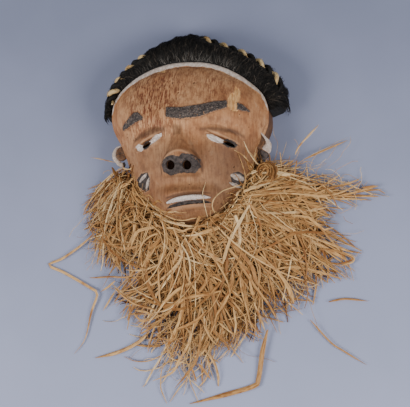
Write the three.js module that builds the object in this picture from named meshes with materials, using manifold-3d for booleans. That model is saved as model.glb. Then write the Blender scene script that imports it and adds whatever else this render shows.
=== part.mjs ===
// A Pende mask from central Africa, lying on its back rim with its face up.
// Carved wooden face, wig of black fibre pile with a twisted cord, and a raffia beard.
// Millimetres. +Z is up out of the face, +Y towards the forehead, +X to the viewer's right.

import * as THREE from "three";
import Module from "manifold-3d";
import { mergeVertices } from "three/addons/utils/BufferGeometryUtils.js";

const wasm = await Module();
wasm.setup();

// The mask's own axes meet on its midline between the eyes. They stand here in the part's frame,
// whose origin is under the middle of the whole object.
const MASK_PLACE = new THREE.Vector3(-16.5, 76.7, 0);

// Clear gap between two pieces that touch.
const GAP = 0.35;
const BEARD_GAP = 4;

// Facets round the face.
const FACE_STATIONS = 44;
const FACE_RINGS = 13;
const HOLLOW_RINGS = 5;

// Outline of the wooden face seen from the front: distance from the mask's axis every 15 degrees,
// anticlockwise from the right-hand side.
const OUTLINE_STEP = 15;
const OUTLINE = [
  78.5, 89.5, 95, 92.5, 90.5, 89.5, 89, 91, 94, 97.5, 99.5, 92.5,
  79.5, 75, 78, 85, 90, 95, 97, 95, 90, 85.5, 79, 75,
];

// The dome of the face.
const CROWN_HEIGHT = 82;
const EDGE_HEIGHT = 30;
const EDGE_RISE = 18;
const DOME_POWER = 2.4;
const DOME_ROUNDING = 0.7;
const DOME_ROUNDING_RISE = 0.12;
const RIM_BAND = 6.5;
const RIM_BAND_SIDE = 2.2;
const RIM_BAND_DROP = 2.5;
const WALL_FLARE = 2;
const WALL = 9;

// Broad swellings and hollows of the dome.
const BROW_SWELL = { height: 4.5, y: 19, halfWidth: 78, spread: 17 };
const SOCKET = { depth: 3, x: 42, y: -2, spreadX: 24, spreadY: 9 };
const CHEEK_HOLLOW = { depth: 2.5, x: 50, y: -34, spreadX: 18, spreadY: 13 };
const MUZZLE = { height: 18, x: 1, y: -79, spreadX: 38, spreadY: 19 };

// Nose, with its tilted nostril plane.
const NOSE = { x: -3, top: 4, tip: -25, foot: -45.5, height: 18, topHalf: 6, wingHalf: 22, ridgeArc: 11 };
const NOSE_FOOT_STEP = 4;
const NOSTRIL = { radius: 4.8, depth: 15, lean: 12, left: [-13.2, -37.2], right: [4.4, -38] };

// Eyes: a heavy lid over a slanted slit that is pierced through the wood.
const EYE = { x: 41, y: -6, half: 19, lid: 10, bulge: 3.6, tilt: 21 };
const SLITS = [[-42, -10.6, 21], [47, -12, -21]];
const SLIT = { half: 5.8, rise: 2.5 };

// Brow band: three raised stretches of one worn band, as [x, lower y, upper y] stations.
const BROW_RAISE = 1.8;
const BROWS = [
  [[-72, 10, 13.5], [-63, 10.8, 20], [-56, 13, 25.3], [-51, 14, 25], [-44, 15.5, 18]],
  [[-18.5, 15, 26.8], [-3, 12.4, 25.4], [18.5, 13.7, 28.4], [34, 20.4, 32.4], [46.5, 25.3, 34.5]],
  [[56, 24, 33], [62, 23.5, 31], [69, 23.5, 25]],
];

// Mouth: upper lip, open slot, lower lip.
const MOUTH = { x: 3.5, y: -71.8, half: 24, droop: 1, slope: 0.1 };
const UPPER_LIP = { from: -2.2, to: 2.2, raise: 3.4 };
const SLOT = { from: -6.2, to: -2, depth: 5 };
const LOWER_LIP = { from: -10.8, to: -6, raise: 2.2 };

// Raised marks on the cheeks, as [x, y, turn in degrees, half length, half width].
const MARKS = [
  [-49.5, -43, 28, 6.6, 2.1], [-43.6, -50.5, 66, 6.6, 2.1],
  [54, -44.8, -3, 6.6, 3.5], [51, -53.2, -12, 5.4, 2],
];
const MARK_RAISE = 2.4;

// Ears: a C-shaped shell on the side wall, as [x, y, mirror, size].
const EARS = [[-76, -6.5, -1, 12.5], [74, -4.5, 1, 15.5]];
const EAR = { thickness: 5.5, low: 12, high: 29, from: 112, step: -34, points: 7 };

// Holes through the jaw wall for the beard's lashing, in degrees round the outline.
const LASHING = { from: 205, to: 335, count: 6, height: 8, radius: 2.2 };

// Wig: how far it stands out from the outline, every 1/8 of the way from its left end to its right.
const WIG_FROM = 160;
const WIG_TO = 21;
const WIG_REACH = [10, 17, 24, 32, 38.5, 31, 30, 29, 20];
const WIG_RIBS = 18;
const WIG_CREST = 4;

// Twisted two-ply cord sewn along the wig's outer edge.
const CORD = { ply: 2.7, helix: 3.1, pitch: 19, from: 0.05, to: 0.95, height: 30, stepsPerTurn: 5 };

// Rolled collar cord along the jaw.
const COLLAR = { radius: 6.5, from: -24, to: -158, height: 16, steps: 16 };

// Locks of the beard from the left ear round to the right one, each as
// [root angle on the jaw, root height, tip x, tip y, tip height, sideways bend, girth].
const LOCKS = [
  [-166, 26, -110, -86, 6, 17, 11],
  [-158, 31, -101, -112, 6, 15, 12],
  [-149, 36, -91, -135, 5, 12, 13],
  [-139, 42, -80, -155, 5, 9, 14],
  [-129, 47, -66, -180, 4, 4, 15],
  [-117, 50, -42, -206, 4, 2, 16],
  [-106, 50, -26, -236, 4, 6, 16],
  [-95, 50, -8, -257, 4, 10, 16],
  [-85, 50, 12, -248, 4, 10, 16],
  [-77, 49, 34, -222, 4, 4, 16],
  [-69, 48, 74, -206, 5, -8, 16],
  [-61, 47, 101, -194, 5, -12, 16],
  [-53, 45, 128, -175, 5, -14, 16],
  [-46, 42, 151, -144, 5, -14, 15],
  [-39, 39, 164, -110, 5, -13, 14],
  [-31, 34, 178, -78, 6, -11, 13],
  [-24, 30, 184, -54, 6, -9, 11],
  [-19, 26, 152, -34, 6, -9, 8],
];
const HANKS = [["raffia_left", 0, 4], ["raffia_chin", 5, 9], ["raffia_right", 10, 17]];

// Vertical planes that part the hanks, each through two points [x, y].
const PARTINGS = [[[-44, -74], [-55, -196]], [[24, -84], [56, -214]]];

// Long loose strands, as [width, points]. Each point is x, y and height.
const STRANDS = [
  [2.2, [[-109, -89, 8], [-129, -106, 5], [-152, -121, 3], [-168.2, -128, 2], [-150, -137, 2],
    [-119, -155, 3], [-110.5, -162.4, 4], [-117, -182, 3], [-124, -212, 2], [-136, -228, 2]]],
  [2, [[-90, -160, 5], [-104, -181, 2]]],
  [5.5, [[-50, -205, 7], [-64, -217, 4], [-86, -227, 2.5], [-112, -233, 2]]],
  [2.2, [[-38, -221, 3], [-52, -221, 3], [-67, -219.4, 2]]],
  [7, [[80, -205, 6], [74.3, -227.3, 5], [69.3, -256.8, 3], [64, -265, 3], [33, -274, 2.5],
    [-6, -283.4, 2]]],
  [2.4, [[126, -195, 4], [147, -219, 3], [162, -229.5, 2.5], [185, -243.8, 2]]],
  [2.2, [[146, -176, 4], [164, -173, 3], [188, -175.7, 2]]],
  [2, [[162, -122, 6], [173.6, -128, 5], [172.3, -133.3, 4], [158, -137, 4]]],
  [2.4, [[186, -52, 7], [194, -51, 7], [202.2, -50.5, 7]]],
  [2, [[123, -18, 9], [146, -7.5, 6], [171.5, 3.7, 3]]],
  [1.8, [[114, -15, 20], [120, -6, 26], [140.4, 14.8, 30]]],
  [1.8, [[-88, -17, 24], [-105, -12.3, 24], [-115.8, -10.6, 26]]],
  [2, [[7, -236, 4], [8, -250, 3], [7.7, -262, 2]]],
];

const wood = paint(0xb07c50, 0.75);
const blackPile = paint(0x1c1b1a, 0.9);
const cream = paint(0xcdb98f, 0.85);
const straw = paint(0xbf9766, 0.8);

function paint(color, roughness) {
  return new THREE.MeshStandardMaterial({ color, roughness, metalness: 0 });
}

function radians(degrees) {
  return THREE.MathUtils.degToRad(degrees);
}

// Distance from the mask's axis to the outline in a direction, by a smooth curve through OUTLINE.
function outline(angle) {
  const count = OUTLINE.length;
  const place = ((angle / radians(OUTLINE_STEP)) % count + count) % count;
  const first = Math.floor(place);
  const part = place - first;
  const [a, b, c, d] = [-1, 0, 1, 2].map((k) => OUTLINE[(first + k + count) % count]);
  return b + 0.5 * part * (c - a + part * (2 * a - 5 * b + 4 * c - d + part * (3 * (b - c) + d - a)));
}

// Width of the painted rim band: widest over the forehead, none along the jaw.
function bandWidth(angle) {
  const climb = THREE.MathUtils.smoothstep(Math.sin(angle), 0.1, 1);
  const start = THREE.MathUtils.smoothstep(Math.sin(angle), -0.05, 0.15);
  return RIM_BAND_SIDE * start + (RIM_BAND - RIM_BAND_SIDE) * climb;
}

function edgeHeight(angle) {
  return EDGE_HEIGHT + EDGE_RISE * Math.sin(angle);
}

// Height of the plain dome, without its features.
function domeHeight(x, y) {
  const angle = Math.atan2(y, x);
  const reach = outline(angle) - bandWidth(angle);
  const part = Math.min(Math.hypot(x, y) / reach, 1);
  const power = DOME_ROUNDING + DOME_ROUNDING_RISE * Math.sin(angle);
  const edge = edgeHeight(angle);
  return edge + (CROWN_HEIGHT - edge) * (1 - part ** DOME_POWER) ** power;
}

function swelling(distanceX, distanceY, power) {
  return Math.exp(-(Math.abs(distanceX) ** power) - Math.abs(distanceY) ** power);
}

// Height of the carved surface with its broad swellings and hollows.
function faceHeight(x, y) {
  const side = Math.abs(x);
  const near = (form, across, power) => {
    return swelling((across - form.x) / form.spreadX, (y - form.y) / form.spreadY, power);
  };
  const browSides = swelling(x / BROW_SWELL.halfWidth, 0, 4);
  const brow = browSides * swelling(0, (y - BROW_SWELL.y) / BROW_SWELL.spread, 2);
  return domeHeight(x, y) + BROW_SWELL.height * brow - SOCKET.depth * near(SOCKET, side, 2)
    - CHEEK_HOLLOW.depth * near(CHEEK_HOLLOW, side, 2) + MUZZLE.height * near(MUZZLE, x, 4);
}

// A closed solid from rows of points: each row is a ring, and the first and last are one point.
function ringSolid(rows) {
  const positions = [];
  const corner = (p) => positions.push(p[0], p[1], p[2]);
  const triangle = (a, b, c) => [a, b, c].forEach(corner);
  for (let i = 0; i + 1 < rows.length; i += 1) {
    const upper = rows[i];
    const lower = rows[i + 1];
    const count = Math.max(upper.length, lower.length);
    for (let j = 0; j < count; j += 1) {
      const next = (j + 1) % count;
      if (upper.length === 1) triangle(upper[0], lower[j], lower[next]);
      else if (lower.length === 1) triangle(upper[next], upper[j], lower[0]);
      else {
        triangle(upper[j], lower[j], lower[next]);
        triangle(upper[j], lower[next], upper[next]);
      }
    }
  }
  const geometry = new THREE.BufferGeometry();
  geometry.setAttribute("position", new THREE.Float32BufferAttribute(positions, 3));
  return toSolid(geometry);
}

// Any closed three.js geometry as a solid for cutting and joining.
function toSolid(geometry) {
  const bare = geometry.clone();
  bare.deleteAttribute("normal");
  bare.deleteAttribute("uv");
  const merged = mergeVertices(bare, 1e-4);
  const triVerts = new Uint32Array(merged.index.array);
  const vertProperties = new Float32Array(merged.attributes.position.array);
  const solid = new wasm.Manifold(new wasm.Mesh({ numProp: 3, vertProperties, triVerts }));
  return solid.volume() < 0 ? flipped(vertProperties, triVerts) : solid;
}

function flipped(vertProperties, triVerts) {
  const turned = triVerts.slice();
  for (let i = 0; i < turned.length; i += 3) {
    turned[i] = triVerts[i + 1];
    turned[i + 1] = triVerts[i];
  }
  return new wasm.Manifold(new wasm.Mesh({ numProp: 3, vertProperties, triVerts: turned }));
}

function toGeometry(solid) {
  const mesh = solid.getMesh();
  const geometry = new THREE.BufferGeometry();
  geometry.setAttribute("position", new THREE.BufferAttribute(mesh.vertProperties, 3));
  geometry.setIndex(new THREE.BufferAttribute(mesh.triVerts, 1));
  geometry.computeVertexNormals();
  return geometry;
}

// A raised or sunken patch: a grid of surface points, closed by a floor under it.
function patchSolid(columns, rows, surface, floor) {
  const grid = (shape) => {
    const points = [];
    for (let i = 0; i <= columns; i += 1) {
      for (let j = 0; j <= rows; j += 1) points.push(shape(i / columns, j / rows));
    }
    return points;
  };
  const top = grid(surface);
  const bottom = grid((u, v) => {
    const [x, y] = surface(u, v);
    return [x, y, floor(x, y)];
  });
  const positions = [];
  const quad = (a, b, c, d) => [a, b, c, a, c, d].forEach((p) => positions.push(...p));
  const at = (i, j) => i * (rows + 1) + j;
  for (let i = 0; i < columns; i += 1) {
    for (let j = 0; j < rows; j += 1) {
      const cell = [at(i, j), at(i + 1, j), at(i + 1, j + 1), at(i, j + 1)];
      quad(...cell.map((k) => top[k]));
      quad(...cell.reverse().map((k) => bottom[k]));
    }
    quad(bottom[at(i, 0)], bottom[at(i + 1, 0)], top[at(i + 1, 0)], top[at(i, 0)]);
    quad(top[at(i, rows)], top[at(i + 1, rows)], bottom[at(i + 1, rows)], bottom[at(i, rows)]);
  }
  for (let j = 0; j < rows; j += 1) {
    quad(bottom[at(0, j + 1)], bottom[at(0, j)], top[at(0, j)], top[at(0, j + 1)]);
    quad(top[at(columns, j + 1)], top[at(columns, j)], bottom[at(columns, j)], bottom[at(columns, j + 1)]);
  }
  const geometry = new THREE.BufferGeometry();
  geometry.setAttribute("position", new THREE.Float32BufferAttribute(positions, 3));
  return toSolid(geometry);
}

// A tube along a curve whose section may change: size(t) gives its half width and half height.
function sweptSolid(curve, steps, sides, size, turn = () => 0) {
  const rows = [[curve.getPoint(0).toArray()]];
  const up = new THREE.Vector3(0, 0, 1);
  for (let i = 0; i <= steps; i += 1) {
    const t = i / steps;
    const centre = curve.getPoint(t);
    const along = curve.getTangent(t);
    const across = new THREE.Vector3().crossVectors(along, up).normalize();
    const normal = new THREE.Vector3().crossVectors(across, along).normalize();
    const [halfWidth, halfHeight] = size(t);
    const ring = [];
    for (let k = 0; k < sides; k += 1) {
      const angle = (2 * Math.PI * k) / sides + turn(t);
      const point = centre.clone();
      point.addScaledVector(across, halfWidth * Math.cos(angle));
      point.addScaledVector(normal, halfHeight * Math.sin(angle));
      ring.push(point.toArray());
    }
    rows.push(ring);
  }
  rows.push([curve.getPoint(1).toArray()]);
  return ringSolid(rows);
}

function curveThrough(points) {
  return new THREE.CatmullRomCurve3(points.map((p) => new THREE.Vector3(...p)));
}

// Rings of the face at shares of the way out from the axis to the outline.
function faceRing(count, share, height) {
  const ring = [];
  for (let k = 0; k < count; k += 1) {
    const angle = (2 * Math.PI * k) / count;
    const distance = share(angle);
    const x = distance * Math.cos(angle);
    const y = distance * Math.sin(angle);
    ring.push([x, y, height(x, y, angle)]);
  }
  return ring;
}

// Outer skin of the face, grown outwards when it is used to cut its neighbours.
function faceSkin(stations, rings, grow = 0) {
  const rows = [[[0, 0, faceHeight(0, 0) + grow]]];
  for (let i = 1; i <= rings; i += 1) {
    const part = 1 - (1 - i / rings) ** 1.15;
    const reach = (angle) => part * (outline(angle) - bandWidth(angle) - 0.02 + grow);
    rows.push(faceRing(stations, reach, (x, y) => faceHeight(x, y) + grow));
  }
  const rimOut = (angle) => outline(angle) + grow;
  rows.push(faceRing(stations, rimOut, (x, y, angle) => edgeHeight(angle) - RIM_BAND_DROP + grow));
  const base = (angle) => outline(angle) + WALL_FLARE + grow;
  rows.push(faceRing(stations, base, () => -4 * grow));
  return rows;
}

// The hollow behind the face keeps the wall's thickness under the dome.
function hollowRows(stations, rings) {
  const rows = [];
  for (let i = rings; i >= 1; i -= 1) {
    const part = (i / rings) ** 0.8;
    const reach = (angle) => part * (outline(angle) + WALL_FLARE - WALL);
    const height = (x, y) => (domeHeight(x, y) - WALL) * Math.sqrt(1 - part ** 14);
    rows.push(faceRing(stations, reach, height));
  }
  rows.push([[0, 0, domeHeight(0, 0) - WALL]]);
  return rows;
}

// A patch that stands out of the face's own surface and reaches a little way into the wood.
function carvedPatch(columns, rows, place, raise, depth = 3) {
  const surface = (u, v) => {
    const [x, y] = place(u, v);
    return [x, y, faceHeight(x, y) + raise(u, v)];
  };
  return patchSolid(columns, rows, surface, (x, y) => faceHeight(x, y) - depth);
}

function nose() {
  const row = (u, v) => {
    const s = 2 * u - 1;
    const arc = NOSE.ridgeArc * s * s;
    const ridgeShare = 4 / 7;
    const upper = v < ridgeShare;
    const part = upper ? v / ridgeShare : (v - ridgeShare) / (1 - ridgeShare);
    const tip = NOSE.tip - arc;
    const y = upper ? NOSE.top + (tip - NOSE.top) * part : tip + (NOSE.foot - tip) * part;
    const spread = upper ? part : 1;
    const half = NOSE.topHalf + (NOSE.wingHalf - NOSE.topHalf) * spread ** 1.1;
    const crest = upper ? NOSE.height * part ** 1.15 : NOSE.height - (NOSE.height - NOSE_FOOT_STEP) * part;
    const wing = upper ? 0.38 * part : 0.38;
    const round = (1 - (1 - wing) * Math.abs(s) ** 2.4) * (1 - s ** 14);
    return [NOSE.x + s * half, y, crest * round - 0.4];
  };
  const surface = (u, v) => {
    const [x, y, raise] = row(u, v);
    return [x, y, faceHeight(x, y) + raise];
  };
  return patchSolid(8, 7, surface, (x, y) => faceHeight(x, y) - 4);
}

function nostrils() {
  const cut = new THREE.CylinderGeometry(NOSTRIL.radius, NOSTRIL.radius, 2 * NOSTRIL.depth, 10);
  cut.rotateX(Math.PI / 2 + radians(NOSTRIL.lean));
  return [NOSTRIL.left, NOSTRIL.right].map(([x, y]) => {
    const mouth = faceHeight(x, y) + NOSE.height * 0.4;
    return toSolid(cut.clone().translate(x, y, mouth));
  });
}

// Upper lid: rises from the fold line to its lower edge.
function lid(side) {
  const tilt = radians(EYE.tilt) * -side;
  const place = (u, v) => {
    const s = 2 * u - 1;
    const along = s * EYE.half;
    const across = 0.5 + EYE.lid * Math.sqrt(1 - 0.85 * s * s) * (1 - v);
    const x = side * EYE.x + along * Math.cos(tilt) - across * Math.sin(tilt);
    const y = EYE.y + along * Math.sin(tilt) + across * Math.cos(tilt);
    return [x, y];
  };
  const raise = (u, v) => EYE.bulge * Math.sin((Math.PI / 2) * v) * (1 - (2 * u - 1) ** 4) - 0.3;
  return carvedPatch(6, 3, place, raise);
}

function slit([x, y, tilt]) {
  const shape = new THREE.Shape();
  shape.absellipse(0, 0, SLIT.half, SLIT.rise, 0, 2 * Math.PI);
  const cut = new THREE.ExtrudeGeometry(shape, { depth: 90, bevelEnabled: false, curveSegments: 5 });
  cut.rotateZ(radians(tilt));
  cut.translate(x, y, 20);
  return toSolid(cut);
}

function brow(stations) {
  const columns = 2 * (stations.length - 1);
  const place = (u, v) => {
    const spot = u * (stations.length - 1);
    const first = Math.min(Math.floor(spot), stations.length - 2);
    const part = spot - first;
    const next = stations[first + 1];
    const [x, low, high] = stations[first].map((value, k) => value + part * (next[k] - value));
    return [x, high + (low - high) * v];
  };
  return carvedPatch(columns, 2, place, () => BROW_RAISE);
}

// A bar that follows the mouth's drooping line.
function mouthBar({ from, to, depth }, raise, columns, rows) {
  const place = (u, v) => {
    const s = 2 * u - 1;
    const x = MOUTH.x + s * MOUTH.half;
    const line = MOUTH.y + MOUTH.slope * s * MOUTH.half - MOUTH.droop * s * s;
    const pinch = 1 - 0.55 * s ** 4;
    return [x, line + (to + (from - to) * v - (from + to) / 2) * pinch + (from + to) / 2];
  };
  return carvedPatch(columns, rows, place, raise, depth);
}

function lip(size) {
  return mouthBar(size, (u, v) => size.raise * Math.sin(Math.PI * v) * (1 - (2 * u - 1) ** 6) - 0.3, 8, 3);
}

function mouthSlot() {
  return mouthBar(SLOT, () => 8, 6, 1);
}

function mark([x, y, turn, half, rise]) {
  const angle = radians(turn);
  const place = (u, v) => {
    const s = 2 * u - 1;
    const along = s * half;
    const across = (1 - 2 * v) * rise * (1 - 0.6 * s * s);
    const right = along * Math.cos(angle) - across * Math.sin(angle);
    const up = along * Math.sin(angle) + across * Math.cos(angle);
    return [x + right, y + up];
  };
  const raise = (u, v) => MARK_RAISE * Math.sin(Math.PI * v) ** 0.6 * (1 - (2 * u - 1) ** 6) - 0.3;
  return carvedPatch(4, 3, place, raise);
}

function ear([x, y, mirror, size], grow = 0) {
  const points = [];
  for (let i = 0; i < EAR.points; i += 1) {
    const angle = radians(EAR.from + EAR.step * i);
    const lean = (EAR.high - EAR.low) * (0.5 + 0.5 * Math.sin(angle));
    points.push([x + mirror * size * Math.cos(angle), y + 1.15 * size * Math.sin(angle), EAR.low + lean]);
  }
  const section = (t) => {
    const half = EAR.thickness * (0.34 + 0.28 * Math.sin(Math.PI * t)) + grow;
    return [half, half * 1.5];
  };
  const shell = sweptSolid(curveThrough(points), 9, 6, section);
  const lobe = new THREE.SphereGeometry(size * 0.62 + grow, 8, 5);
  lobe.scale(1, 1.1, 0.55);
  lobe.translate(x, y, (EAR.low + EAR.high) / 2 - 3);
  return shell.add(toSolid(lobe));
}

function lashingHoles() {
  const holes = [];
  for (let i = 0; i < LASHING.count; i += 1) {
    const angle = radians(LASHING.from + ((LASHING.to - LASHING.from) * i) / (LASHING.count - 1));
    const cut = new THREE.CylinderGeometry(LASHING.radius, LASHING.radius, 40, 6);
    cut.rotateZ(Math.PI / 2 + angle);
    cut.translate(outline(angle) * Math.cos(angle), outline(angle) * Math.sin(angle), LASHING.height);
    holes.push(toSolid(cut));
  }
  return holes;
}

function carvedFace() {
  const skin = faceSkin(FACE_STATIONS, FACE_RINGS);
  let solid = ringSolid([...skin, ...hollowRows(FACE_STATIONS, HOLLOW_RINGS)]);
  const carved = [nose(), lid(-1), lid(1), lip(UPPER_LIP), lip(LOWER_LIP)];
  carved.push(...BROWS.map(brow), ...MARKS.map(mark), ...EARS.map((place) => ear(place)));
  for (const piece of carved) solid = solid.add(piece);
  const cuts = [...nostrils(), ...SLITS.map(slit), mouthSlot(), ...lashingHoles()];
  for (const cut of cuts) solid = solid.subtract(cut);
  return solid;
}

// The face without its hollow, its ears and the collar, all a little larger, to cut the beard.
function beardCutter() {
  const plug = ringSolid([...faceSkin(30, 10, BEARD_GAP), [[0, 0, -4 * BEARD_GAP]]]);
  const pieces = [collar(12, 1), ...EARS.map((place) => ear(place, 1.6))];
  return pieces.reduce((solid, piece) => solid.add(piece), plug);
}

// Interpolates a short list of values evenly spread over 0 to 1.
function spread(values, t) {
  const curve = new THREE.CatmullRomCurve3(values.map((value, k) => new THREE.Vector3(k, value, 0)));
  return curve.getPoint(t).y;
}

function wigAngle(t) {
  return radians(WIG_FROM + (WIG_TO - WIG_FROM) * t);
}

// The wig's section is a rounded bank of pile, highest just outside the rim.
function wigSection(t) {
  const angle = wigAngle(t);
  const inner = outline(angle) + WALL_FLARE + GAP;
  const end = Math.min(1, Math.sin(Math.PI * t) * 5 + 0.25);
  const rib = Math.cos(2 * Math.PI * WIG_RIBS * t);
  const reach = spread(WIG_REACH, t) * (1 + 0.025 * rib);
  const top = edgeHeight(angle) - RIM_BAND_DROP;
  const profile = [
    [0, 0], [-1.2, top], [0.25 * reach, top + WIG_CREST * end],
    [0.58 * reach, top + (0.55 * WIG_CREST + rib) * end], [0.85 * reach, 0.72 * top + rib],
    [reach, 0.42 * top], [0.97 * reach, 0.16 * top], [0.8 * reach, 0],
  ];
  return profile.map(([out, height]) => {
    const distance = inner + out;
    return [distance * Math.cos(angle), distance * Math.sin(angle), height];
  });
}

function wig() {
  const steps = 2 * WIG_RIBS;
  const rows = [];
  for (let i = 0; i <= steps; i += 1) rows.push(wigSection(i / steps));
  const middle = (ring) => {
    const sum = ring.reduce((a, p) => a.map((value, k) => value + p[k]), [0, 0, 0]);
    return [sum.map((value) => value / ring.length)];
  };
  return ringSolid([middle(rows[0]), ...rows, middle(rows[steps])]);
}

// Path of the twisted cord, just inside the wig's outer edge.
function cordPoint(t) {
  const share = CORD.from + (CORD.to - CORD.from) * t;
  const angle = wigAngle(share);
  const distance = outline(angle) + spread(WIG_REACH, share) - 3.5;
  return new THREE.Vector3(distance * Math.cos(angle), distance * Math.sin(angle), CORD.height);
}

function cordLength() {
  const points = Array.from({ length: 61 }, (_, i) => cordPoint(i / 60));
  return points.slice(1).reduce((sum, point, i) => sum + point.distanceTo(points[i]), 0);
}

// One ply winds round the path, half a turn apart from the other.
function ply(phase) {
  const turns = Math.round(cordLength() / CORD.pitch);
  const steps = turns * CORD.stepsPerTurn;
  const points = [];
  for (let i = 0; i <= steps; i += 1) {
    const t = i / steps;
    const centre = cordPoint(t);
    const ahead = cordPoint(Math.min(t + 0.01, 1)).sub(cordPoint(Math.max(t - 0.01, 0))).normalize();
    const out = new THREE.Vector3(ahead.y, -ahead.x, 0).multiplyScalar(-1);
    const turn = 2 * Math.PI * turns * t + phase;
    centre.addScaledVector(out, CORD.helix * Math.cos(turn));
    centre.z += CORD.helix * Math.sin(turn);
    points.push(centre.toArray());
  }
  return sweptSolid(curveThrough(points), steps, 4, () => [CORD.ply, CORD.ply]);
}

// Room for the whole cord, to cut its seat into the wig.
function cordSeat() {
  const past = 0.03;
  const steps = 18;
  const shares = Array.from({ length: steps + 1 }, (_, i) => (1 + 2 * past) * (i / steps) - past);
  const points = shares.map((share) => cordPoint(share).toArray());
  const radius = CORD.helix + CORD.ply + 1.6;
  return sweptSolid(curveThrough(points), steps, 6, () => [radius, radius]);
}

function collarCurve(count = 16) {
  const points = [];
  for (let i = 0; i <= count; i += 1) {
    const angle = radians(COLLAR.from + ((COLLAR.to - COLLAR.from) * i) / count);
    const distance = outline(angle) + WALL_FLARE + GAP + COLLAR.radius;
    points.push([distance * Math.cos(angle), distance * Math.sin(angle), COLLAR.height]);
  }
  return curveThrough(points);
}

function collar(steps, grow = 0) {
  const radius = COLLAR.radius + grow;
  return sweptSolid(collarCurve(), steps, 6, () => [radius, radius]);
}

// Guide line of a lock, from its root on the jaw over the collar and down to its tip.
function lockCurve([rootAngle, rootHeight, tipX, tipY, tipHeight, bend]) {
  const angle = radians(rootAngle);
  const distance = outline(angle) * 0.9;
  const root = new THREE.Vector3(distance * Math.cos(angle), distance * Math.sin(angle), rootHeight);
  const tip = new THREE.Vector3(tipX, tipY, tipHeight);
  const side = new THREE.Vector3(tip.y - root.y, root.x - tip.x, 0).normalize();
  const points = [0, 0.3, 0.65, 1].map((t) => {
    const point = root.clone().lerp(tip, t).addScaledVector(side, bend * Math.sin(Math.PI * t));
    point.z = tip.z + (root.z - tip.z) * (1 - t) ** 0.8 * (1 + 0.5 * t);
    return point.toArray();
  });
  return curveThrough(points);
}

// The bank of raffia that fans out under a run of locks.
function bank(curves) {
  const columns = 2 * (curves.length - 1);
  const surface = (u, v) => {
    const spot = u * (curves.length - 1);
    const first = Math.min(Math.floor(spot), curves.length - 2);
    const part = spot - first;
    const between = 1 - Math.abs(2 * part - 1);
    const reach = v * (0.93 - 0.12 * between);
    const point = curves[first].getPoint(reach).lerp(curves[first + 1].getPoint(reach), part);
    return [point.x, point.y, Math.max(2.5, point.z - 1.5 - 4 * between)];
  };
  return patchSolid(columns, 4, surface, () => 0);
}

// One lock: a tapering tuft along its guide line.
function lock(curve, girth) {
  const size = (t) => {
    const swell = 0.55 + 0.45 * Math.sin(Math.PI * Math.min(1, t * 1.15));
    const taper = 1 - THREE.MathUtils.smoothstep(t, 0.55, 1) * 0.9;
    return [girth * swell * taper * 0.8, girth * swell * taper * 0.55];
  };
  return sweptSolid(curve, 5, 5, size);
}

// One hank: its locks standing out of their bank, cut off flat where they lie on the ground.
function hank(from, to) {
  const curves = LOCKS.map(lockCurve);
  const [before, after] = [Math.max(0, from - 1), Math.min(LOCKS.length - 1, to + 1)];
  let solid = bank(curves.slice(before, after + 1));
  for (let k = from; k <= to; k += 1) solid = solid.add(lock(curves[k], LOCKS[k][6]));
  const ground = new THREE.BoxGeometry(600, 600, 60).translate(0, 0, -30);
  return solid.subtract(toSolid(ground)).subtract(behindBeard);
}

// Everything on one side of a parting plane; side is 1 to the left of its direction.
function beyondParting([from, to], side) {
  const length = 600;
  const angle = Math.atan2(to[1] - from[1], to[0] - from[0]);
  const block = new THREE.BoxGeometry(length, length, length);
  block.translate(0, side * (length / 2 - GAP / 2), 0);
  block.rotateZ(angle);
  block.translate(from[0], from[1], 0);
  return toSolid(block);
}

function strand([width, points]) {
  const steps = 2 * (points.length - 1);
  const size = (t) => {
    const half = (width / 2) * (0.35 + 0.65 * Math.sin(Math.PI * Math.min(0.92, t + 0.08)));
    return [half, 0.5];
  };
  return sweptSolid(curveThrough(points), steps, 3, size);
}

const model = new THREE.Group();
const mask = new THREE.Group();
mask.position.copy(MASK_PLACE);
model.add(mask);

function place(name, solid, material) {
  const mesh = new THREE.Mesh(toGeometry(solid), material);
  mesh.name = name;
  mask.add(mesh);
}

const behindBeard = beardCutter();

place("face", carvedFace(), wood);
place("coiffure", wig().subtract(cordSeat()), blackPile);
place("coiffure_cord_black", ply(0), blackPile);
place("coiffure_cord_cream", ply(Math.PI), cream);
place("raffia_collar", collar(COLLAR.steps), straw);
HANKS.forEach(([name, from, to], k) => {
  let solid = hank(from, to);
  if (k > 0) solid = solid.subtract(beyondParting(PARTINGS[k - 1], -1));
  if (k < PARTINGS.length) solid = solid.subtract(beyondParting(PARTINGS[k], 1));
  place(name, solid, straw);
});
STRANDS.forEach((item, k) => {
  place(`raffia_strand_${String(k + 1).padStart(2, "0")}`, strand(item), straw);
});

export default model;
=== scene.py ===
"""A Pende mask from central Africa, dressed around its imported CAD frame.

Sizes and places are in millimetres on the mask's own axes, as in the part's source. The axes meet
on the midline between the eyes: +X to the viewer's right, +Y to the forehead, +Z out of the face.
to_frame() turns them into metres in the row frame.
"""

from math import pi, radians, tan

import bpy
import numpy as np
from mathutils import Matrix, Vector


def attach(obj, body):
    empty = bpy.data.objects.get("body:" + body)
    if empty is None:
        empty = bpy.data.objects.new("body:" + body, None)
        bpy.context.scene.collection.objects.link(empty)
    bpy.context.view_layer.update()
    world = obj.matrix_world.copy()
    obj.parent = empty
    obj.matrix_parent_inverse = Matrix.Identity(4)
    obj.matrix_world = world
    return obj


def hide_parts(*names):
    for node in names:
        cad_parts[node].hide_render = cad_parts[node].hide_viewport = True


BODY = "root"
MILLIMETRE = 0.001
MASK_PLACE = np.array([-16.5, 76.7, 0.0])

# Outline of the wooden face: distance from the axis every 15 degrees, anticlockwise from the right.
OUTLINE = [
    78.5, 89.5, 95, 92.5, 90.5, 89.5, 89, 91, 94, 97.5, 99.5, 92.5,
    79.5, 75, 78, 85, 90, 95, 97, 95, 90, 85.5, 79, 75,
]

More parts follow.
